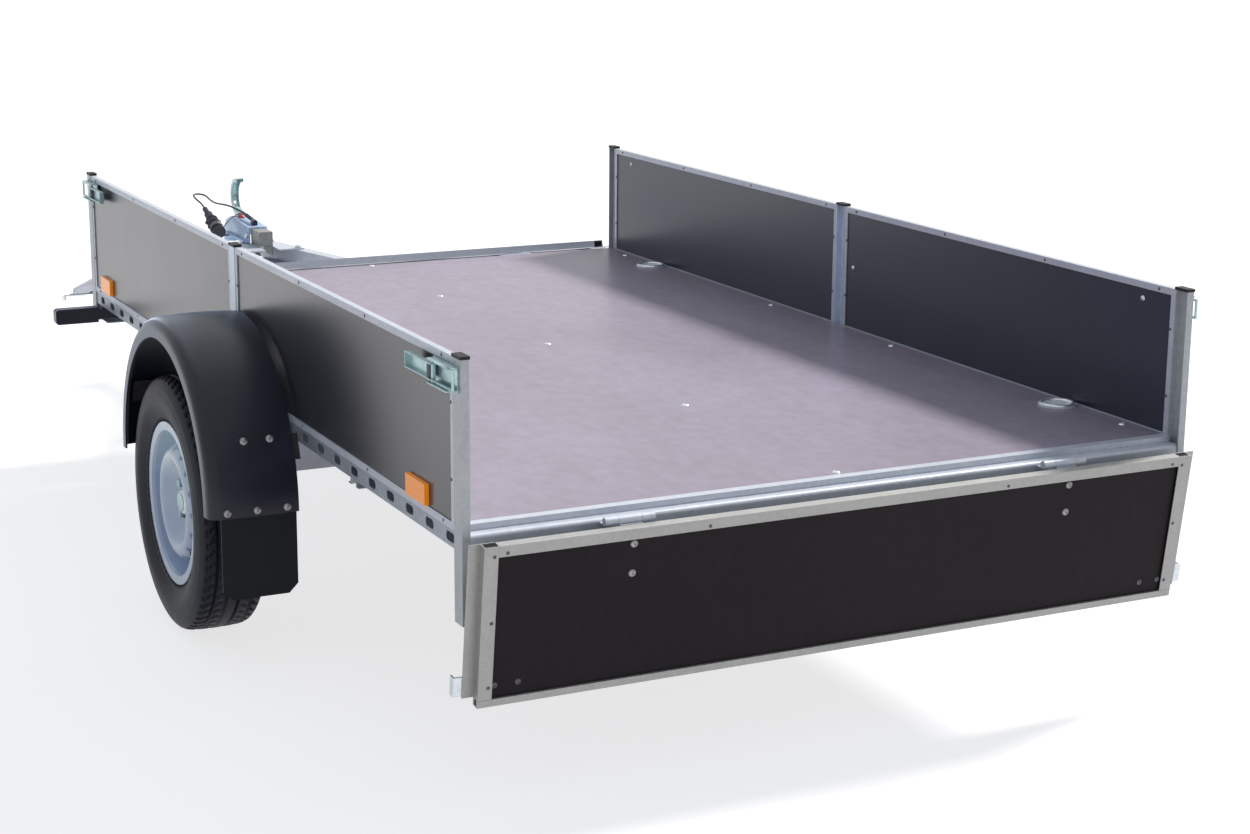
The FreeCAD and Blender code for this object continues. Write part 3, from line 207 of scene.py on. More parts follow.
def stretched(tree, scale=(1, 1, 1)):
    """Object coordinates scaled along each axis, so that a pattern can be long or fine."""
    place = tree.nodes.new("ShaderNodeTexCoord")
    mapping = tree.nodes.new("ShaderNodeMapping")
    mapping.inputs["Scale"].default_value = scale
    tree.links.new(place.outputs["Object"], mapping.inputs["Vector"])
    return mapping.outputs["Vector"]


def noise(tree, vector, scale, detail=4.0, roughness=0.5):
    """A cloudy number from 0 to 1 with about `scale` clouds in a metre."""
    node = tree.nodes.new("ShaderNodeTexNoise")
    node.inputs["Scale"].default_value = scale
    node.inputs["Detail"].default_value = detail
    node.inputs["Roughness"].default_value = roughness
    tree.links.new(vector, node.inputs["Vector"])
    return node.outputs["Fac"]


def cells(tree, vector, scale):
    """A random grey for each cell of a scattered mosaic."""
    node = tree.nodes.new("ShaderNodeTexVoronoi")
    node.inputs["Scale"].default_value = scale
    tree.links.new(vector, node.inputs["Vector"])
    return node.outputs["Color"]


def between(tree, factor, low, high):
    """Runs from the colour low to the colour high as the factor goes from 0.3 to 0.7."""
    ramp = tree.nodes.new("ShaderNodeValToRGB")
    ramp.color_ramp.elements[0].position = 0.3
    ramp.color_ramp.elements[1].position = 0.7
    ramp.color_ramp.elements[0].color = (*low, 1)
    ramp.color_ramp.elements[1].color = (*high, 1)
    tree.links.new(factor, ramp.inputs["Fac"])
    return ramp.outputs["Color"]


def scaled(tree, factor, low, high):
    """A number from low to high as the factor goes from 0 to 1."""
    node = tree.nodes.new("ShaderNodeMapRange")
    node.inputs["To Min"].default_value = low
    node.inputs["To Max"].default_value = high
    tree.links.new(factor, node.inputs["Value"])
    return node.outputs["Result"]


def mixed(tree, share, one, other):
    """Two patterns blended: (1 - share) of the one and share of the other."""
    node = tree.nodes.new("ShaderNodeMix")
    node.data_type = "RGBA"
    node.inputs["Factor"].default_value = share
    for name, pattern in (("A", one), ("B", other)):
        socket = next(s for s in node.inputs if s.name == name and s.type == "RGBA")
        tree.links.new(pattern, socket)
    return next(s for s in node.outputs if s.type == "RGBA")


def rough_surface(tree, shader, height, strength, distance, normal=None):
    """Small relief from a height pattern, through a bump node."""
    bump = tree.nodes.new("ShaderNodeBump")
    if normal:
        tree.links.new(normal, bump.inputs["Normal"])
    bump.inputs["Strength"].default_value = strength
    bump.inputs["Distance"].default_value = distance
    tree.links.new(height, bump.inputs["Height"])
    tree.links.new(bump.outputs["Normal"], shader.inputs["Normal"])


# %% [markdown]
# ## Zinc
# The frame is dipped in molten zinc, which freezes into spangles under a centimetre across and
# weathers to a satin pale grey. Cells give the spangles their slightly different greys, and a
# slow noise dulls the shine here and there. Small hardware has a brighter, bluer plated coat, and
# the same recipe in darker greys serves for worn steel. Copies of the recipe carry painted light:
# a brighter, bluer one is painted sky light on the middle posts, darker ones are painted shade on
# the corner posts, the side rails and the mudguards' stays, and a near-white one is a painted
# highlight on the lashing pans.

# %% Zinc finishes
def soft_edge(tree, radius):
    """A normal that rounds sharp edges by a small radius, so that an edge catches light."""
    bevel = tree.nodes.new("ShaderNodeBevel")
    bevel.samples = 4
    bevel.inputs["Radius"].default_value = radius
    return bevel.outputs["Normal"]


def zinc(name, slot, colour, shade, roughness, spangle, metallic=0.75):
    """Spangled metal: about `spangle` cells in a metre, running from the shade to the colour."""
    cloud_share = 0.45
    edge = 0.0009
    tree, shader = finish_of(name, slot, colour, metallic, roughness)
    vector = stretched(tree)
    patches = mixed(tree, cloud_share, cells(tree, vector, spangle), noise(tree, vector, 9, 6))
    tree.links.new(between(tree, patches, shade, colour), shader.inputs["Base Color"])
    tree.links.new(scaled(tree, noise(tree, vector, 14, 6), roughness - 0.10, roughness + 0.14),
                   shader.inputs["Roughness"])
    rough_surface(tree, shader, noise(tree, vector, 90, 3), 0.10, 0.0005, soft_edge(tree, edge))


zinc("galvanised", "galvanised", (0.62, 0.65, 0.72), (0.56, 0.59, 0.66), 0.38, 120, 0.25)
# Painted sky light: a brighter, bluer copy of the zinc for the middle posts
zinc("painted_sky_light_zinc", "galvanised", (0.74, 0.81, 0.94), (0.67, 0.74, 0.87), 0.34, 120, 0.25)
# Painted shade: a darker, greyer copy of the zinc for the corner posts
zinc("painted_shade_corner_zinc", "galvanised", (0.51, 0.53, 0.55), (0.45, 0.47, 0.49), 0.40, 120, 0.25)
# Painted highlight: a near-white zinc for the lashing pans, standing in for the sky they reflect
zinc("painted_highlight_pan_zinc", "bright_steel", (0.95, 0.97, 1.0), (0.86, 0.90, 0.97), 0.22, 150, 0.10)
# Painted shade: a darker copy of the zinc for the side rails
zinc("shaded_zinc", "galvanised", (0.37, 0.40, 0.45), (0.31, 0.34, 0.39), 0.40, 120, 0.50)
zinc("board_zinc", "galvanised", (0.43, 0.43, 0.41), (0.395, 0.395, 0.38), 0.46, 150, 0.50)
zinc("bright_steel", "bright_steel", (0.72, 0.75, 0.79), (0.62, 0.66, 0.71), 0.26, 160)
zinc("worn_steel", "bright_steel", (0.42, 0.40, 0.41), (0.32, 0.30, 0.31), 0.36, 160, 0.6)
zinc("teal_zinc", "bright_steel", (0.50, 0.66, 0.66), (0.38, 0.53, 0.55), 0.30, 150, 0.6)
zinc("dull_steel", "bright_steel", (0.16, 0.16, 0.18), (0.10, 0.10, 0.12), 0.48, 150, 0.5)
# Painted shade: a near-black steel for the mudguards' stays in the dark wheel arch
zinc("painted_shade_stay_steel", "bright_steel", (0.022, 0.022, 0.026), (0.014, 0.014, 0.017), 0.60, 150, 0.1)
# The coupling's blue is partly its blue zinc and partly painted sky-blue shade on its sides
zinc("coupling_steel", "coupling_steel", (0.50, 0.64, 0.84), (0.36, 0.51, 0.75), 0.34, 110, 0.30)
zinc("coupling_grey", "coupling_steel", (0.34, 0.35, 0.34), (0.26, 0.27, 0.26), 0.45, 110, 0.30)
print(sorted(finishes))

# %% [markdown]
# ## Film-faced plywood
# The floor and the walls are birch plywood under a hard brown phenolic film. The film is almost
# smooth, so it mirrors a pale sky at a low angle, and it carries long faint streaks along the
# sheet. The floor is worn, with broad dusty patches, and a clear coat gives the gloss; the blue
# tint on its reflections is painted sky colour. The right wall faces away from the sun, and its
# film is a darker, bluer copy of the left wall's: painted shade and painted sky reflection.

# %% Plywood finishes
def film_faced(name, slot, dark, light, roughness, streak, coat, shine, tint=(1, 1, 1)):
    """Film between two shades, with streaks stretched by 1 / streak along each axis."""
    fine_share = 0.35
    tree, shader = finish_of(name, slot, dark, 0.0, roughness)
    broad = noise(tree, stretched(tree, streak), 1.6, 6, 0.6)
    fine = noise(tree, stretched(tree, tuple(8 * s for s in streak)), 5, 4)
    patches = mixed(tree, fine_share, broad, fine)
    tree.links.new(between(tree, patches, dark, light), shader.inputs["Base Color"])
    tree.links.new(scaled(tree, broad, roughness - 0.05, roughness + 0.08), shader.inputs["Roughness"])
    shader.inputs["Specular IOR Level"].default_value = shine
    shader.inputs["Specular Tint"].default_value = (*tint, 1)
    shader.inputs["Coat Weight"].default_value = coat
    shader.inputs["Coat Roughness"].default_value = 0.24
    rough_surface(tree, shader, noise(tree, stretched(tree), 420, 2), 0.03, 0.0003)


# The blue tint on the floor's reflections is painted sky colour
film_faced("floor_plywood", "floor_plywood", (0.236, 0.192, 0.240), (0.356, 0.308, 0.388),
           0.42, (1.0, 0.6, 1.0), 0.26, 0.45, (0.82, 0.84, 1.0))
film_faced("side_plywood", "side_plywood", (0.020, 0.022, 0.031), (0.028, 0.030, 0.041),
           0.28, (1.0, 1.6, 0.7), 0.30, 0.5, (1.0, 0.965, 0.95))
# Painted shade: a darker, bluer copy of the film for the right wall, with a painted blue tint on its
# reflections
film_faced("painted_shade_right_plywood", "side_plywood", (0.011, 0.014, 0.033), (0.017, 0.021, 0.044),
           0.30, (1.0, 1.6, 0.7), 0.24, 0.5, (0.82, 0.90, 1.0))
film_faced("board_plywood", "board_plywood", (0.014, 0.010, 0.013), (0.023, 0.016, 0.021),
           0.48, (1.4, 1.0, 1.0), 0.0, 0.12)

# %% [markdown]
# ## Plastics, rubber, paint and lenses
# The mudguards are vacuum-formed polyethylene: black and satin, with a blue sheen at a low angle
# that is painted to stand for the sky's reflection. The tyre and the flaps are duller. The rim is
# silver enamel with a blue cast, which is painted sky light. The reflectors are orange acrylic with
# a prism pattern on the back, which shows as a fine grid through the clear face, and a painted glow
# stands in for the light the prisms send back.

# %% Plastics, rubber, paint and lenses
def moulded(name, slot, colour, roughness, grain, strength, specular=0.5, painted_sky_sheen=0.0):
    """A pebbled surface whose colour c drifts up to 1.6 c + 0.004 in slow patches."""
    tree, shader = finish_of(name, slot, colour, 0.0, roughness)
    vector = stretched(tree)
    lighter = tuple(min(1.0, 1.6 * c + 0.004) for c in colour)
    tree.links.new(between(tree, noise(tree, vector, 3.5, 6), colour, lighter), shader.inputs["Base Color"])
    tree.links.new(scaled(tree, noise(tree, vector, 20, 5), roughness - 0.05, roughness + 0.08),
                   shader.inputs["Roughness"])
    shader.inputs["Specular IOR Level"].default_value = specular
    # Painted sheen: a sheen tinted blue stands in for the sky's reflection at a low angle
    shader.inputs["Sheen Weight"].default_value = painted_sky_sheen
    shader.inputs["Sheen Roughness"].default_value = 0.30
    shader.inputs["Sheen Tint"].default_value = (0.68, 0.82, 1.0, 1)
    rough_surface(tree, shader, noise(tree, vector, grain, 3), strength, 0.0005)


def lens(name, slot, colour, ridges):
    """Clear acrylic over a square grid of `ridges` prisms in a metre, each darker towards its edges."""
    tree, shader = finish_of(name, slot, colour, 0.0, 0.16)
    checks = tree.nodes.new("ShaderNodeTexVoronoi")
    checks.distance = "CHEBYCHEV"
    checks.inputs["Randomness"].default_value = 0.0
    checks.inputs["Scale"].default_value = 1.0
    tree.links.new(stretched(tree, (ridges, ridges, ridges)), checks.inputs["Vector"])
    deep = tuple(0.72 * c for c in colour)
    # A painted glow: the emission stands in for the light that the prisms behind the face send back out, so a
    # reflector looks lit in the shade
    shader.inputs["Emission Color"].default_value = (*colour, 1)
    shader.inputs["Emission Strength"].default_value = 0.30
    tree.links.new(between(tree, checks.outputs["Distance"], colour, deep), shader.inputs["Base Color"])
    shader.inputs["Specular IOR Level"].default_value = 0.25
    shader.inputs["Coat Weight"].default_value = 0.12
    shader.inputs["Coat Roughness"].default_value = 0.05
    rough_surface(tree, shader, checks.outputs["Distance"], 0.25, 0.0008)


# The mudguards' plastic carries the painted blue sheen
moulded("black_plastic", "black_plastic", (0.009, 0.011, 0.022), 0.30, 260, 0.05, 0.36, 1.0)
moulded("plug_plastic", "black_plastic", (0.030, 0.028, 0.042), 0.46, 260, 0.12, 0.3)
moulded("cap_black", "black_plastic", (0.008, 0.008, 0.010), 0.50, 300, 0.08, 0.3)
moulded("rubber", "rubber", (0.009, 0.010, 0.013), 0.60, 320, 0.12, 0.2)
moulded("tyre", "tyre", (0.012, 0.013, 0.021), 0.50, 300, 0.12, 0.20)
moulded("cable_black", "cable_black", (0.014, 0.014, 0.016), 0.48, 400, 0.08)
moulded("cable_grey", "cable_grey", (0.10, 0.085, 0.12), 0.38, 400, 0.05)
# Painted sky light: the rim's silver has a blue cast
moulded("rim_silver", "rim_silver", (0.52, 0.60, 0.81), 0.28, 500, 0.03)
moulded("red_paint", "red_lens", (0.60, 0.05, 0.05), 0.40, 400, 0.04)
lens("orange_lens", "orange_lens", (0.90, 0.27, 0.008), 260)
lens("red_lens", "red_lens", (0.42, 0.02, 0.015), 220)
print(len(finishes), "finishes")

# %% [markdown]
# ## Finishes on the solids
# The record says which finish each solid has, so one loop dresses them all. Some solids take a
# finish of their own: the latches have a teal tint, the tailboard's frame is a smoother olive zinc,
# the caps on the posts are a deeper black, and the ring that holds the plug is dull. Others carry
# painted light: the middle posts are brighter and bluer than the corner posts, painted sky light;
# the corner posts, the side rails, the mudguards' stays and the right wall are darker, painted
# shade; and the lashing pans are near white, a painted highlight.

# %% Dress the solids
own_shade = {
    "latches_rear": "teal_zinc", "latches_front": "teal_zinc", "coupling_handle": "teal_zinc",
    "tailboard_rails": "board_zinc", "tailboard_ends": "board_zinc",
    "corner_posts": "painted_shade_corner_zinc", "middle_posts": "painted_sky_light_zinc", "post_caps": "cap_black",
    "side_rail_left": "shaded_zinc", "side_rail_right": "shaded_zinc", "mudguard_stays": "painted_shade_stay_steel",
    "side_panels_right": "painted_shade_right_plywood", "lashing_pans": "painted_highlight_pan_zinc",
    "coupling_tail": "coupling_grey", "plug": "plug_plastic", "plug_holder": "dull_steel"}
for entry in frame["record"]["subparts"]:
    node = nodes[entry["node"]]
    name = own_shade.get(entry["node"], entry["material_slot"])
    node.data.materials.clear()
    node.data.materials.append(finishes[name][0])
print("dressed", len(nodes))

# %% [markdown]
# ## Tyres
# A trailer tyre is a turned shape with four grooves round its tread and curved cuts across its
# shoulders. The surface is a function of two parameters: v runs across the section from bead to
# bead, u runs round the wheel, and the tread's depth is taken off the radius where a groove and the
# tread band meet. Thin rings stand proud of the wall, as the mould leaves them.

# %% Tyres
wheel_low, wheel_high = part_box("tyre_right")
wheel_x = (wheel_low.x + wheel_high.x) / 2
wheel_y = (wheel_low.y + wheel_high.y) / 2
wheel_z = (wheel_low.z + wheel_high.z) / 2
print("wheel at %.3f %.3f %.3f" % (wheel_x, wheel_y, wheel_z))
half_section = [
    (0.055, 0.1652), (0.0545, 0.1790), (0.0620, 0.1880), (0.0700, 0.2020), (0.0765, 0.2170),
    (0.0795, 0.2300), (0.0790, 0.2440), (0.0765, 0.2570), (0.0730, 0.2680), (0.0690, 0.2755),
    (0.0640, 0.2805), (0.0570, 0.2838), (0.0470, 0.2853), (0.0300, 0.2863), (0.0130, 0.2868)]
steps_across = 131
steps_round = 320
tread_half, tread_fade = 0.068, 0.004
deepest = 0.0060
grooves = (-0.042, -0.014, 0.014, 0.042)
groove_half, groove_deep = 0.0028, 0.0058

# The cuts are curved by a wave across the tread, and open where a cosine is above a level
cuts_round = 64
cut_level = 0.62
wave_turn, wave_rate = 5.0, 70
cut_fade = 0.003
shoulder_from, shoulder_deep = 0.045, 0.0052
middle_from, middle_to, middle_deep = 0.018, 0.039, 0.003

# Each ring on the wall has its radius, its half width and its height
wall_rings = (
    (0.1925, 0.0018, 0.0011), (0.2080, 0.0009, 0.0006), (0.2235, 0.0012, 0.0006),
    (0.2480, 0.0009, 0.0006), (0.2610, 0.0022, 0.0008))


def tyre_section():
    """The section from the inner bead over the tread to the outer bead, as (across, radius)."""
    left = [(-x, r) for x, r in half_section]
    return np.array(left + half_section[::-1])


def bump_at(value, centre, width):
    """1 at the centre, falling off as exp(-((v - c) / w)^4), which has a flat top."""
    return np.exp(-((value - centre) / width) ** 4)


def ramp(rise, length):
    """A rise shared over a length, held between 0 and 1."""
    return np.clip(rise / length, 0, 1)


def tyre_points(side):
    """(across, radius) carried round the axle, with grooves and cuts taken off the tread."""
    rough = tyre_section()
    along = np.concatenate(([0], np.cumsum(np.hypot(*np.diff(rough, axis=0).T))))
    v = np.linspace(0, along[-1], steps_across)
    x = np.interp(v, along, rough[:, 0])
    r = np.interp(v, along, rough[:, 1])
    u = np.linspace(0, 2 * np.pi, steps_round, endpoint=False)
    out = np.abs(x)
    tread = ramp(tread_half - out, tread_fade)
    rounds = sum(bump_at(x, c, groove_half) for c in grooves)
    sweep = wave_turn * np.sin(wave_rate * out)[:, None] + np.sign(x)[:, None]
    cuts = (np.cos(cuts_round * u[None] + sweep) > cut_level).astype(float)
    shoulder = ramp(out - shoulder_from, cut_fade)[:, None]
    middle = (ramp(middle_to - out, cut_fade) * ramp(out - middle_from, cut_fade))[:, None]
    cuts = cuts * (shoulder_deep * shoulder + middle_deep * middle)
    depth = groove_deep * np.clip(rounds, 0, 1)[:, None] + cuts
    depth = np.minimum(depth, deepest) * tread[:, None]
    rings = sum(h * bump_at(r, c, w) for c, w, h in wall_rings)
    radius = r[:, None] - depth
    wide = x[:, None] + np.sign(x)[:, None] * rings[:, None] + 0 * u[None]
    place = (side * wheel_x + wide, wheel_y + radius * np.cos(u), wheel_z + radius * np.sin(u))
    return np.stack(place, 2)


def liner_of(outer, side):
    """The inside of the tyre: each section shrunk by 14 per cent about a circle of radius 225 mm."""
    kept = 0.86
    heart = 0.225
    centre = np.array((side * wheel_x, wheel_y, wheel_z))
    arms = outer - centre
    radius = np.hypot(arms[..., 1], arms[..., 2])
    share = (heart + kept * (radius - heart)) / radius
    return centre + arms * np.stack((np.full_like(share, kept), share, share), 2)


for side_name, side in sides:
    outer = tyre_points(side)
    loop = np.concatenate((outer, liner_of(outer[::-4], side)))
    faces = grid_faces(len(loop), steps_round, True, True)
    tyre = piece_of("tread_" + side_name, loop, faces, "tyre", "wheel_" + side_name)
    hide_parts("tyre_" + side_name)
    print(tyre.name, len(tyre.data.polygons), "faces")

# %% [markdown]
# ## Wheel hardware
# Four bolts with conical seats clamp the disc on a 100 mm circle, a plated cap closes the hub, and a
# short rubber valve stands in the gap between the disc's crown and the barrel. They are all turned
# shapes. A bolt's head is a hexagon, so it is turned in six steps.

# %% Wheel hardware
disc_out = 0.026
bolt_circle_r = 0.050
valve_out, valve_back, valve_down = 0.024, 0.106, 0.093
valve_lean = (0.12, 0.10)
hexagonal = 6
seat_profile = [(0, 0.0060), (0.0092, 0.0060), (0.0118, 0.0020), (0.0122, -0.0005), (0, -0.0005)]
head_profile = [(0, 0.0130), (0.0078, 0.0130), (0.0103, 0.0112), (0.0103, 0.0055), (0, 0.0055)]
cap_profile = [
    (0, 0.0042), (0.0085, 0.0042), (0.0095, 0.0035), (0.0160, 0.0035), (0.0200, 0.0030),
    (0.0215, 0.0012), (0.0215, -0.0004), (0, -0.0004)]
valve_profile = [
    (0, 0.030), (0.0034, 0.0298), (0.0040, 0.0285), (0.0040, 0.0200), (0.0032, 0.0190),
    (0.0034, 0.0090), (0.0060, 0.0020), (0.0070, -0.001), (0, -0.001)]
hub_end = max(abs(corner.x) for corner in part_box("hub_right"))
print("hub ends %.4f out of the wheel's middle" % (hub_end - wheel_x))
for side_name, side in sides:
    body = "wheel_" + side_name
    outwards = (side, 0, 0)
    angles = np.radians(45 + 90 * np.arange(4))
    face = np.full(4, side * (wheel_x + disc_out))
    ring = (face, wheel_y + bolt_circle_r * np.cos(angles), wheel_z + bolt_circle_r * np.sin(angles))
    ring = np.stack(ring, 1)
    turned_pieces("wheel_bolt_seats_" + side_name, seat_profile, ring, outwards, "dull_steel", body, 20)
    turned_pieces("wheel_bolts_" + side_name, head_profile, ring, outwards, "teal_zinc", body, hexagonal)
    hub = [(side * hub_end, wheel_y, wheel_z)]
    turned_pieces("hub_cap_" + side_name, cap_profile, hub, outwards, "teal_zinc", body, 40)
    valve = [(side * (wheel_x + valve_out), wheel_y - valve_back, wheel_z - valve_down)]
    turned_pieces("valve_" + side_name, valve_profile, valve, (side, *valve_lean), "rubber", body, 12)

# %% [markdown]
# ## Bolt heads and screws
# Round-headed bolts hold the boards, the floor and the mudguards. A head is a shallow dome with a
# small recess for the key. One mesh holds each group, and the groups are named for what they hold.

# %% Bolt heads
def dome(radius, height):
    """A domed head with a dished middle: outer rim, crown, and a recess a third as wide."""
    return [
        (0, 0.45 * height), (0.30 * radius, 0.45 * height), (0.34 * radius, height),
        (0.62 * radius, 0.86 * height), (0.86 * radius, 0.52 * height), (radius, 0.08 * height),
        (radius, -0.0006), (0, -0.0006)]


def heads(name, places, axis, body, radius, height=0.003, finish="bright_steel"):
    """Domed heads at several places, all facing along one axis."""
    return turned_pieces(name, dome(radius, height), places, axis, finish, body, steps=14)


floor_middle = (0.066, 0.689, 1.407, 2.106, 2.635)
floor_edge = (0.150, 1.040, 1.626, 2.500)
edge_x = 0.760
floor_spots = [bed(0.005, y, 0) for y in floor_middle]
floor_spots += [bed(x, y, 0) for x in (-edge_x, edge_x) for y in floor_edge]
heads("floor_bolts", floor_spots, (0, 0, 1), "chassis", 0.009, 0.0028)

# Two framed bays make up each wall, with screws along their rails and down their stiles
frame_in, frame_out = [corner.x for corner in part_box("side_frames_right")]
bays = ((0.060, 1.290), (1.375, 2.605))
rail_heights = (-0.005, 0.297)
stile_heights = (0.08, 0.22)
rail_inset, stile_outset = 0.03, 0.012
rail_screws = [
    bed(0, y, z) for low, high in bays
    for y in np.linspace(low + rail_inset, high - rail_inset, 4) for z in rail_heights]
stile_screws = [
    bed(0, y, z) for low, high in bays
    for y in (low - stile_outset, high + stile_outset) for z in stile_heights]
for side_name, side in sides:
    for where, x, facing in (("inner", frame_in, -1), ("outer", frame_out, 1)):
        spots = [p + (side * x, 0, 0) for p in rail_screws + stile_screws]
        name = "frame_screws_%s_%s" % (where, side_name)
        heads(name, spots, (side * facing, 0, 0), "chassis", 0.0036, 0.0012, "dull_steel")
wall_spots = [bed(0, y, z) for y, z in ((0.143, 0.268), (1.271, 0.154), (2.522, 0.268))]
wall_faces = (("right", 1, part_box("side_panels_right")[0].x), ("left", -1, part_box("side_panels_left")[1].x))
for side_name, side, face in wall_faces:
    heads("wall_bolts_" + side_name, [p + (face, 0, 0) for p in wall_spots], (-side, 0, 0), "chassis", 0.0062)

# %% [markdown]
# ## Rims of the lashing pans
# Each pan in the floor is a flat flange round a bowl. A rolled rim stands on the flange, and its
# round back catches the light. It could be a torus, but a turned profile gives it a flat foot.

# %% Pan rims
flange_r = 0.041
pan_low, pan_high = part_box("lashing_pans")
pan_x = pan_high.x - flange_r
pan_rows = (pan_low.y + flange_r, pan_high.y - flange_r)
pan_spots = [(side * pan_x, y, floor_top) for side in (-1, 1) for y in pan_rows]
pan_rim = [(0.0402, 0.0046), (0.0388, 0.0072), (0.0356, 0.0086), (0.0322, 0.0076), (0.0300, 0.0046)]
turned_pieces("pan_rims", pan_rim + pan_rim[:1], pan_spots, (0, 0, 1), "bright_steel", "chassis", 40)

# %% [markdown]
# ## Places on the hinged boards
# Both boards hang open, turned about their hinge pins, and what is fixed on them turns too. A
# place on a board is easiest to give as if it stood upright: across, in from the pin, and up.
# One function turns that place with the board, and another says which way the board's faces point.

# %% Board places
tail_turn = math.radians(187.5)
head_turn = math.radians(106)
pin_beyond, pin_below = 0.018, 0.013


def board_place(end, x, inwards, along):
    """Turns (x, inwards, along) about the pin: y' = in cos t - up sin t, z' = in sin t + up cos t."""
    t = tail_turn if end == "tailboard" else head_turn
    y = inwards * math.cos(t) - along * math.sin(t)
    z = inwards * math.sin(t) + along * math.cos(t)
    if end == "tailboard":
        return bed(x, -pin_beyond + y, -pin_below + z)
    return bed(-x, bed_length + pin_beyond - y, -pin_below + z)


def board_facing(end, inwards):
    """The unit direction that points in, or out, from the face of a board."""
    step = board_place(end, 0, inwards, 0) - board_place(end, 0, 0, 0)
    return step / np.linalg.norm(step)


# How far in from the pin the faces lie: the frame's, the sheet's inner one and the nuts' seat
frame_face, sheet_face, nut_face = 0.0325, 0.027, 0.0092
hinge_x = 0.482
for end in ("tailboard", "headboard"):
    inner = [board_place(end, x, sheet_face, a) for x in (-hinge_x, hinge_x) for a in (0.0375, 0.0955)]
    heads(end + "_hinge_bolts", inner, board_facing(end, 1), end, 0.0078, 0.0035, "worn_steel")
    ends = [board_place(end, x, sheet_face, 0.279) for x in (-0.744, -0.698, 0.698, 0.744)]
    heads(end + "_corner_bolts", ends, board_facing(end, 1), end, 0.0062, 0.003, "dull_steel")
    trim = [board_place(end, x, frame_face, 0.0205) for x in (-0.733, -0.330, 0.330, 0.733)]
    trim += [board_place(end, x, frame_face, a) for x in (-0.758, 0.758) for a in (0.025, 0.153, 0.280)]
    heads(end + "_frame_screws", trim, board_facing(end, 1), end, 0.0036, 0.0012, "dull_steel")
    outer = [board_place(end, x, nut_face, a) for x in (-hinge_x, hinge_x) for a in (0.060, 0.115)]
    heads(end + "_hinge_nuts", outer, board_facing(end, -1), end, 0.0075, 0.005)

# %% [markdown]
# ## Mudguards
# Each mudguard is vacuum-formed from one sheet: half a ring, softly crowned across, with a round
# outer shoulder that ends in a lip. The solid has the same section with a ridge for its crown, so a
# smooth surface stands in its place. The section is swept round the guard's own centre.

# %% Mudguards
guard_low, guard_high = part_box("mudguard_right")
guard_y = (guard_low.y + guard_high.y) / 2
guard_z = guard_low.z
guard_r = (guard_high.y - guard_low.y) / 2
guard_wall = 0.004
crown = 0.003
round_r = 0.026
lip_end = 0.047
guard_steps = 97
print("guard %.3f wide, radius %.3f" % (guard_high.x - guard_low.x, guard_r))


def guard_skin(wall):
    """Across and radius: a crown of 3 mm as 3 (1 - t^2), a quarter round of 26 mm, a lip to 47 mm.

    The inner skin is the same line, moved in by the wall."""
    shoulder = guard_high.x - round_r
    t = np.linspace(-1, 1, 17)
    x = (guard_low.x + shoulder) / 2 + t * (shoulder - guard_low.x) / 2
    top = guard_r - crown + crown * (1 - t ** 2) - wall
    a = np.linspace(0, np.pi / 2, 10)[1:]
    r = round_r - wall
    round_x = shoulder + r * np.sin(a)
    round_up = guard_r - (crown + round_r) + r * np.cos(a)
    lip = [(guard_high.x - wall, guard_r - lip_end)]
    return np.concatenate((np.stack((x, top), 1), np.stack((round_x, round_up), 1), lip))


for side_name, side in sides:
    section = np.concatenate((guard_skin(0), guard_skin(guard_wall)[::-1]))
    points = len(section)
    sweep = np.linspace(0, np.pi, guard_steps)
    x = np.broadcast_to(side * section[:, 0], (guard_steps, points))
    y = guard_y - section[:, 1] * np.cos(sweep)[:, None]
    z = guard_z + section[:, 1] * np.sin(sweep)[:, None]
    # Each end is capped by quads between the outer and the inner skin
    i = np.arange(points // 2 - 1)
    cap = np.stack((i, i + 1, points - 2 - i, points - 1 - i), 1)
    walls = grid_faces(guard_steps, points, close_columns=True)
    faces = np.concatenate((walls, cap, cap + (guard_steps - 1) * points))
    name = "guard_shell_" + side_name
    guard = piece_of(name, np.stack((x, y, z), 2), faces, "black_plastic", "chassis", 40)
    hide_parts("mudguard_" + side_name)
    print(guard.name, len(guard.data.polygons), "faces")

# %% [markdown]
# ## Mudguard bolts
# Two bolts hold each mudguard's stay and three hold the flap. They sit square to the curved guard,
# so each one's place is an angle about the guard's own centre.

# %% Mudguard bolts
sunk = 0.0005
# Each row has its name, its angle in degrees and its places across
guard_rows = (("stay", 25.2, (0.860, 0.916)), ("flap", 2.0, (0.836, 0.901, 0.965)))


def guard_facing(degrees):
    """The way the guard's outer face points, at an angle above its rear end."""
    a = math.radians(degrees)
    return np.array((0, -math.cos(a), math.sin(a)))


for side_name, side in sides:
    for title, degrees, spread in guard_rows:
        out = guard_facing(degrees)
        spots = [np.array((side * x, guard_y, guard_z)) + (guard_r - sunk) * out for x in spread]
        name = "guard_%s_bolts_%s" % (title, side_name)
        heads(name, spots, out, "chassis", 0.0085, 0.004, "worn_steel")

# %% [markdown]
# ## Bolts on the drawbar and coupling
# The plates that clamp the two arms have a bolt near each corner, and a cross bolt on each side
# fixes the coupling to its tail. Their heads are hexagons: a turned shape with six steps round.

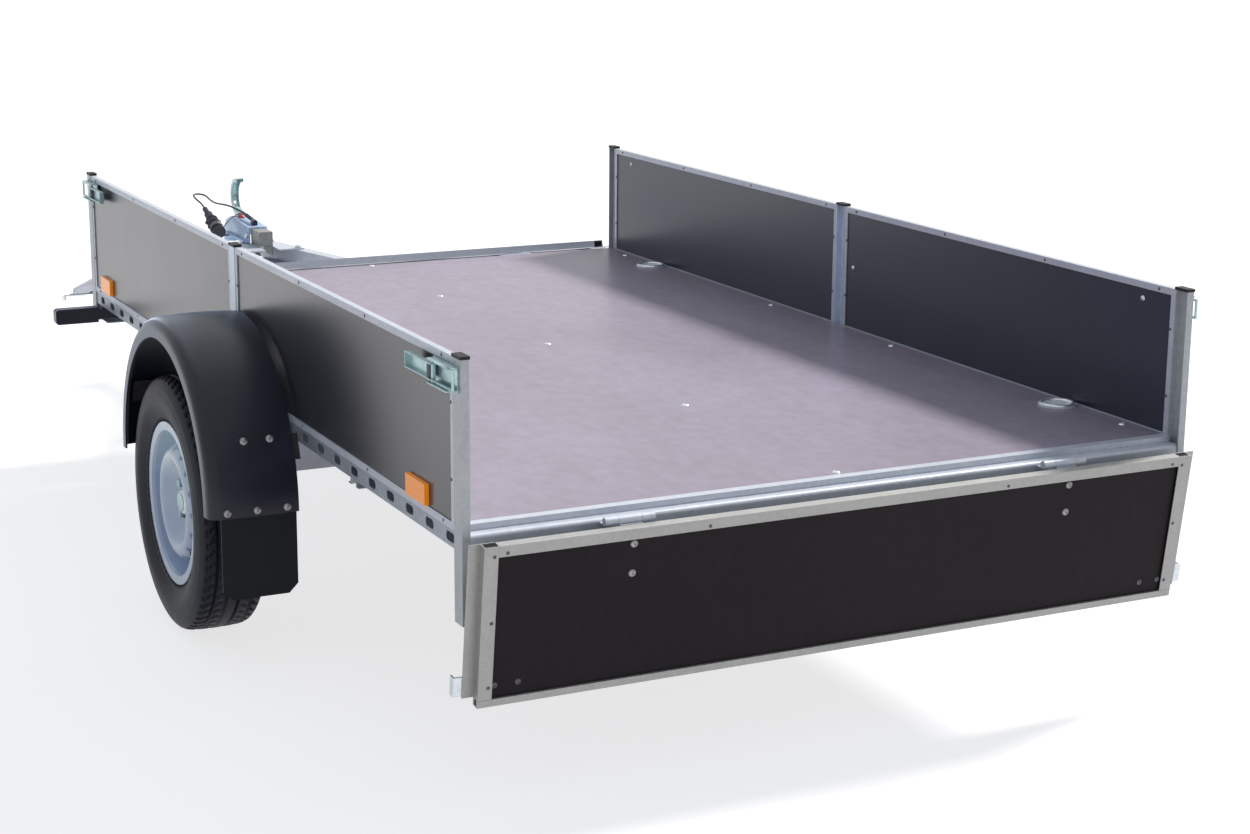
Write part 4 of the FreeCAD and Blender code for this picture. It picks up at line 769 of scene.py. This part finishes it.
# %% Drawbar bolts
hexagon = [
    (0, 0.0085), (0.0075, 0.0085), (0.0098, 0.0070), (0.0098, 0.0), (0.0115, 0.0), (0.0115, -0.0008),
    (0, -0.0008)]
plate_low, plate_top = [corner.z - floor_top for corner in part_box("nose_plates")]
plate_spots = ((0.092, -0.420), (0.052, -0.262))
for name, height, facing in (("plate_bolts", plate_top, 1), ("plate_nuts", plate_low, -1)):
    spots = [bed(side * x, ball_y + y, height) for side in (-1, 1) for x, y in plate_spots]
    turned_pieces(name, hexagon, spots, (0, 0, facing), "bright_steel", "chassis", hexagonal)
for side_name, side in sides:
    cross = [bed(side * 0.031, ball_y - 0.268, -0.066)]
    name = "coupling_bolt_" + side_name
    turned_pieces(name, hexagon, cross, (side, 0, 0), "bright_steel", "chassis", hexagonal)

# %% [markdown]
# ## Small parts of the coupling and the latches
# A red gauge stands at the foot of the coupling's handle and shows whether the ball is held. The
# plug has three keying ears and grip rings that break up its outline, and a dark hinge barrel
# turns inside each latch's lever.

# %% Coupling and latch details
gauge = [bed(-0.004, ball_y - 0.119, -0.0265)]
heads("coupling_gauge", gauge, (0, 0, 1), "chassis", 0.011, 0.007, "red_paint")
plug_r = 0.019
plug_length = 0.147
plug_end = np.array((-0.086, 0.031, -0.014))
plug_dir = np.array((-0.0873, 0.0593, -0.00135)) - plug_end
plug_dir = plug_dir / np.linalg.norm(plug_dir)
plug_low = bed(0, ball_y, 0) + plug_end - plug_dir * plug_length
grips = [plug_low + plug_dir * h for h in (0.008, 0.017, 0.026, 0.072)]
ring = plug_r + 0.0022
grip = [
    (0.010, 0.0018), (ring - 0.001, 0.0018), (ring, 0.0008), (ring, -0.0008), (ring - 0.001, -0.0018),
    (0.010, -0.0018)]
turned_pieces("plug_grips", grip + grip[:1], grips, plug_dir, "plug_plastic", "chassis", 32)
side_on = np.cross(plug_dir, (0, 0, 1))
side_on = side_on / np.linalg.norm(side_on)
ear = [(0, 0.007), (0.0045, 0.007), (0.0060, 0.0055), (0.0060, -0.004), (0, -0.004)]
for number, (h, way) in enumerate(((0.034, -1), (0.060, 1), (0.060, -1))):
    spot = plug_low + plug_dir * h + way * side_on * (plug_r + 0.0005)
    turned_pieces("plug_ear_%d" % (number + 1), ear, [spot], way * side_on, "plug_plastic", "chassis", 20)
barrel = [(0, 0.0125), (0.0036, 0.0125), (0.0042, 0.0118), (0.0042, -0.0118), (0.0036, -0.0125), (0, -0.0125)]
latch_x, latch_up, latch_in = 0.8158, 0.267, 0.107
pins = [bed(x, y, latch_up) for x in (-latch_x, latch_x) for y in (latch_in, bed_length - latch_in)]
turned_pieces("latch_barrels", barrel, pins, (0, 0, 1), "dull_steel", "chassis", 20)

# %% [markdown]
# ## The lead
# A thin black lead leaves the strain relief on the coupling, passes the handle on the left, turns
# in a loose loop ahead of it and comes back into the plug. It shows from end to end, so its
# length is the length that shows. Its line is one smooth spline through space, with the
# same points as its plain tube, and a round section is carried along it.

# %% Cords
def spline(name, offsets, radius, finish):
    """A NURBS curve through millimetres across, ahead of the ball and above the floor's top."""
    data = bpy.data.curves.new(name, "CURVE")
    data.dimensions = "3D"
    line = data.splines.new("NURBS")
    line.points.add(len(offsets) - 1)
    for point, (x, y, z) in zip(line.points, offsets):
        point.co = (*bed(x / 1000, ball_y + y / 1000, z / 1000), 1)
    line.order_u = 3
    line.use_endpoint_u = True
    line.resolution_u = 12
    data.bevel_depth = radius
    data.bevel_resolution = 4
    data.use_fill_caps = True
    material, slot = finishes[finish]
    data.materials.append(material)
    thing = bpy.data.objects.new(name, data)
    bpy.context.scene.collection.objects.link(thing)
    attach(thing, "chassis")
    return thing


lead_points = [
    (1.8, -159, -14), (1.8, -128, -10.93), (-27, -92, 6), (-41, -38, 8), (-50, 32, 3), (-51, 93, 8),
    (-52, 139, 17), (-74.5, 151, 22), (-97, 139, 20), (-97, 97, 11), (-87.3, 59.3, -1.35), (-86, 31, -14)]
tether_points = [
    (-3.4, -159, -14), (-3.4, -144, -12.5), (-23, -131, -13), (-42, -117, -30), (-53, -101, -50),
    (-64, -88, -67)]
lead = spline("lead_line", lead_points, 0.003, "cable_black")
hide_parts("lead")
tether = spline("tether_line", tether_points, 0.0015, "cable_grey")
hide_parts("tether")

# %% [markdown]
# ## The ground
# The trailer was photographed against white. What the camera and mirrors see of the surroundings is
# pale, and what lights the trailer is dimmer, so that the colours stay as they are written. Two
# helpers tell the two kinds of ray apart and give each its own shader. The ground glows nearly to
# white where it is seen, and still takes a soft shadow.

# %% Ground
def highest(tree, one, other):
    """The larger of two numbers."""
    node = tree.nodes.new("ShaderNodeMath")
    node.operation = "MAXIMUM"
    tree.links.new(one, node.inputs[0])
    tree.links.new(other, node.inputs[1])
    return node.outputs[0]


def by_ray(tree, spread, seen):
    """The shader seen for rays from the camera and through mirrors or glass, and spread for others."""
    rays = tree.nodes.new("ShaderNodeLightPath")
    straight = highest(tree, rays.outputs["Is Camera Ray"], rays.outputs["Is Glossy Ray"])
    straight = highest(tree, straight, rays.outputs["Is Transmission Ray"])
    choose = tree.nodes.new("ShaderNodeMixShader")
    for socket, source in zip(choose.inputs, (straight, spread, seen)):
        tree.links.new(source, socket)
    return choose.outputs[0]


def flat_square(name, half_size, height):
    """A level square of 8 by 8 quads."""
    edge = np.linspace(-half_size, half_size, 9)
    x, y = np.meshgrid(edge, edge, indexing="ij")
    mesh = bpy.data.meshes.new(name)
    points = np.stack((x, y, np.full_like(x, height)), 2).reshape(-1, 3)
    mesh.from_pydata([tuple(p) for p in points], [], [tuple(f) for f in grid_faces(9, 9)])
    thing = bpy.data.objects.new(name, mesh)
    bpy.context.scene.collection.objects.link(thing)
    return thing


ground = flat_square("ground", 40, -0.001)
pale = bpy.data.materials.new("ground")
pale.use_nodes = True
tree = pale.node_tree
tree.nodes.clear()
diffuse = tree.nodes.new("ShaderNodeBsdfDiffuse")
diffuse.inputs["Color"].default_value = (0.62, 0.62, 0.63, 1)
shown = tree.nodes.new("ShaderNodeBsdfDiffuse")
shown.inputs["Color"].default_value = (0.40, 0.40, 0.41, 1)
glow = tree.nodes.new("ShaderNodeEmission")
glow.inputs["Strength"].default_value = 0.74
total = tree.nodes.new("ShaderNodeAddShader")
tree.links.new(shown.outputs[0], total.inputs[0])
tree.links.new(glow.outputs[0], total.inputs[1])
out = tree.nodes.new("ShaderNodeOutputMaterial")
tree.links.new(by_ray(tree, diffuse.outputs[0], total.outputs[0]), out.inputs["Surface"])
ground.data.materials.append(pale)

# %% [markdown]
# ## The sky
# The world is one pale grey where it is seen, and a dim blue where it lights the trailer. A picture
# of a sky would give livelier reflections, but plain colours keep every finish as it is written.

# %% World
world = bpy.data.worlds.new("studio")
bpy.context.scene.world = world
world.use_nodes = True
tree = world.node_tree
tree.nodes.clear()
dim = tree.nodes.new("ShaderNodeBackground")
dim.inputs["Color"].default_value = (0.78, 0.87, 1.0, 1)
dim.inputs["Strength"].default_value = 0.37
haze = tree.nodes.new("ShaderNodeBackground")
haze.inputs["Color"].default_value = (0.8, 0.8, 0.8, 1)
haze.inputs["Strength"].default_value = 1.0
out = tree.nodes.new("ShaderNodeOutputWorld")
tree.links.new(by_ray(tree, dim.outputs[0], haze.outputs[0]), out.inputs["Surface"])

# %% [markdown]
# ## Lamps
# A hazy sun stands over the right side, a little to the front, so the right wall shades the floor
# beside it and the tailboard's face stays dark. A wide lamp above fills in.

# %% Lamps
def placed_light(name, data, aim, place=(0, 0, 0)):
    """A lamp at a place, turned so that it shines along the direction aim."""
    thing = bpy.data.objects.new(name, data)
    thing.location = place
    thing.rotation_euler = Vector(aim).to_track_quat("-Z", "Y").to_euler()
    bpy.context.scene.collection.objects.link(thing)


sun = bpy.data.lights.new("sun", "SUN")
sun.energy = 4.3
sun.angle = 0.16
sun.color = (1.0, 0.975, 0.94)
placed_light("sun", sun, (-1.0, -0.25, -0.92))
sky = bpy.data.lights.new("sky_above", "AREA")
sky.shape = "RECTANGLE"
sky.size = sky.size_y = 5
sky.energy = 40
sky.color = (0.85, 0.92, 1.0)
sky_place = Vector((0.5, 1.5, 5.5))
placed_light("sky_above", sky, Vector((0, 0, 0.5)) - sky_place, sky_place)
bpy.context.scene.view_settings.view_transform = "Standard"

# %% [markdown]
# ## The last step
# The view layer is brought up to date.

# %% Update the view layer
bpy.context.view_layer.update()
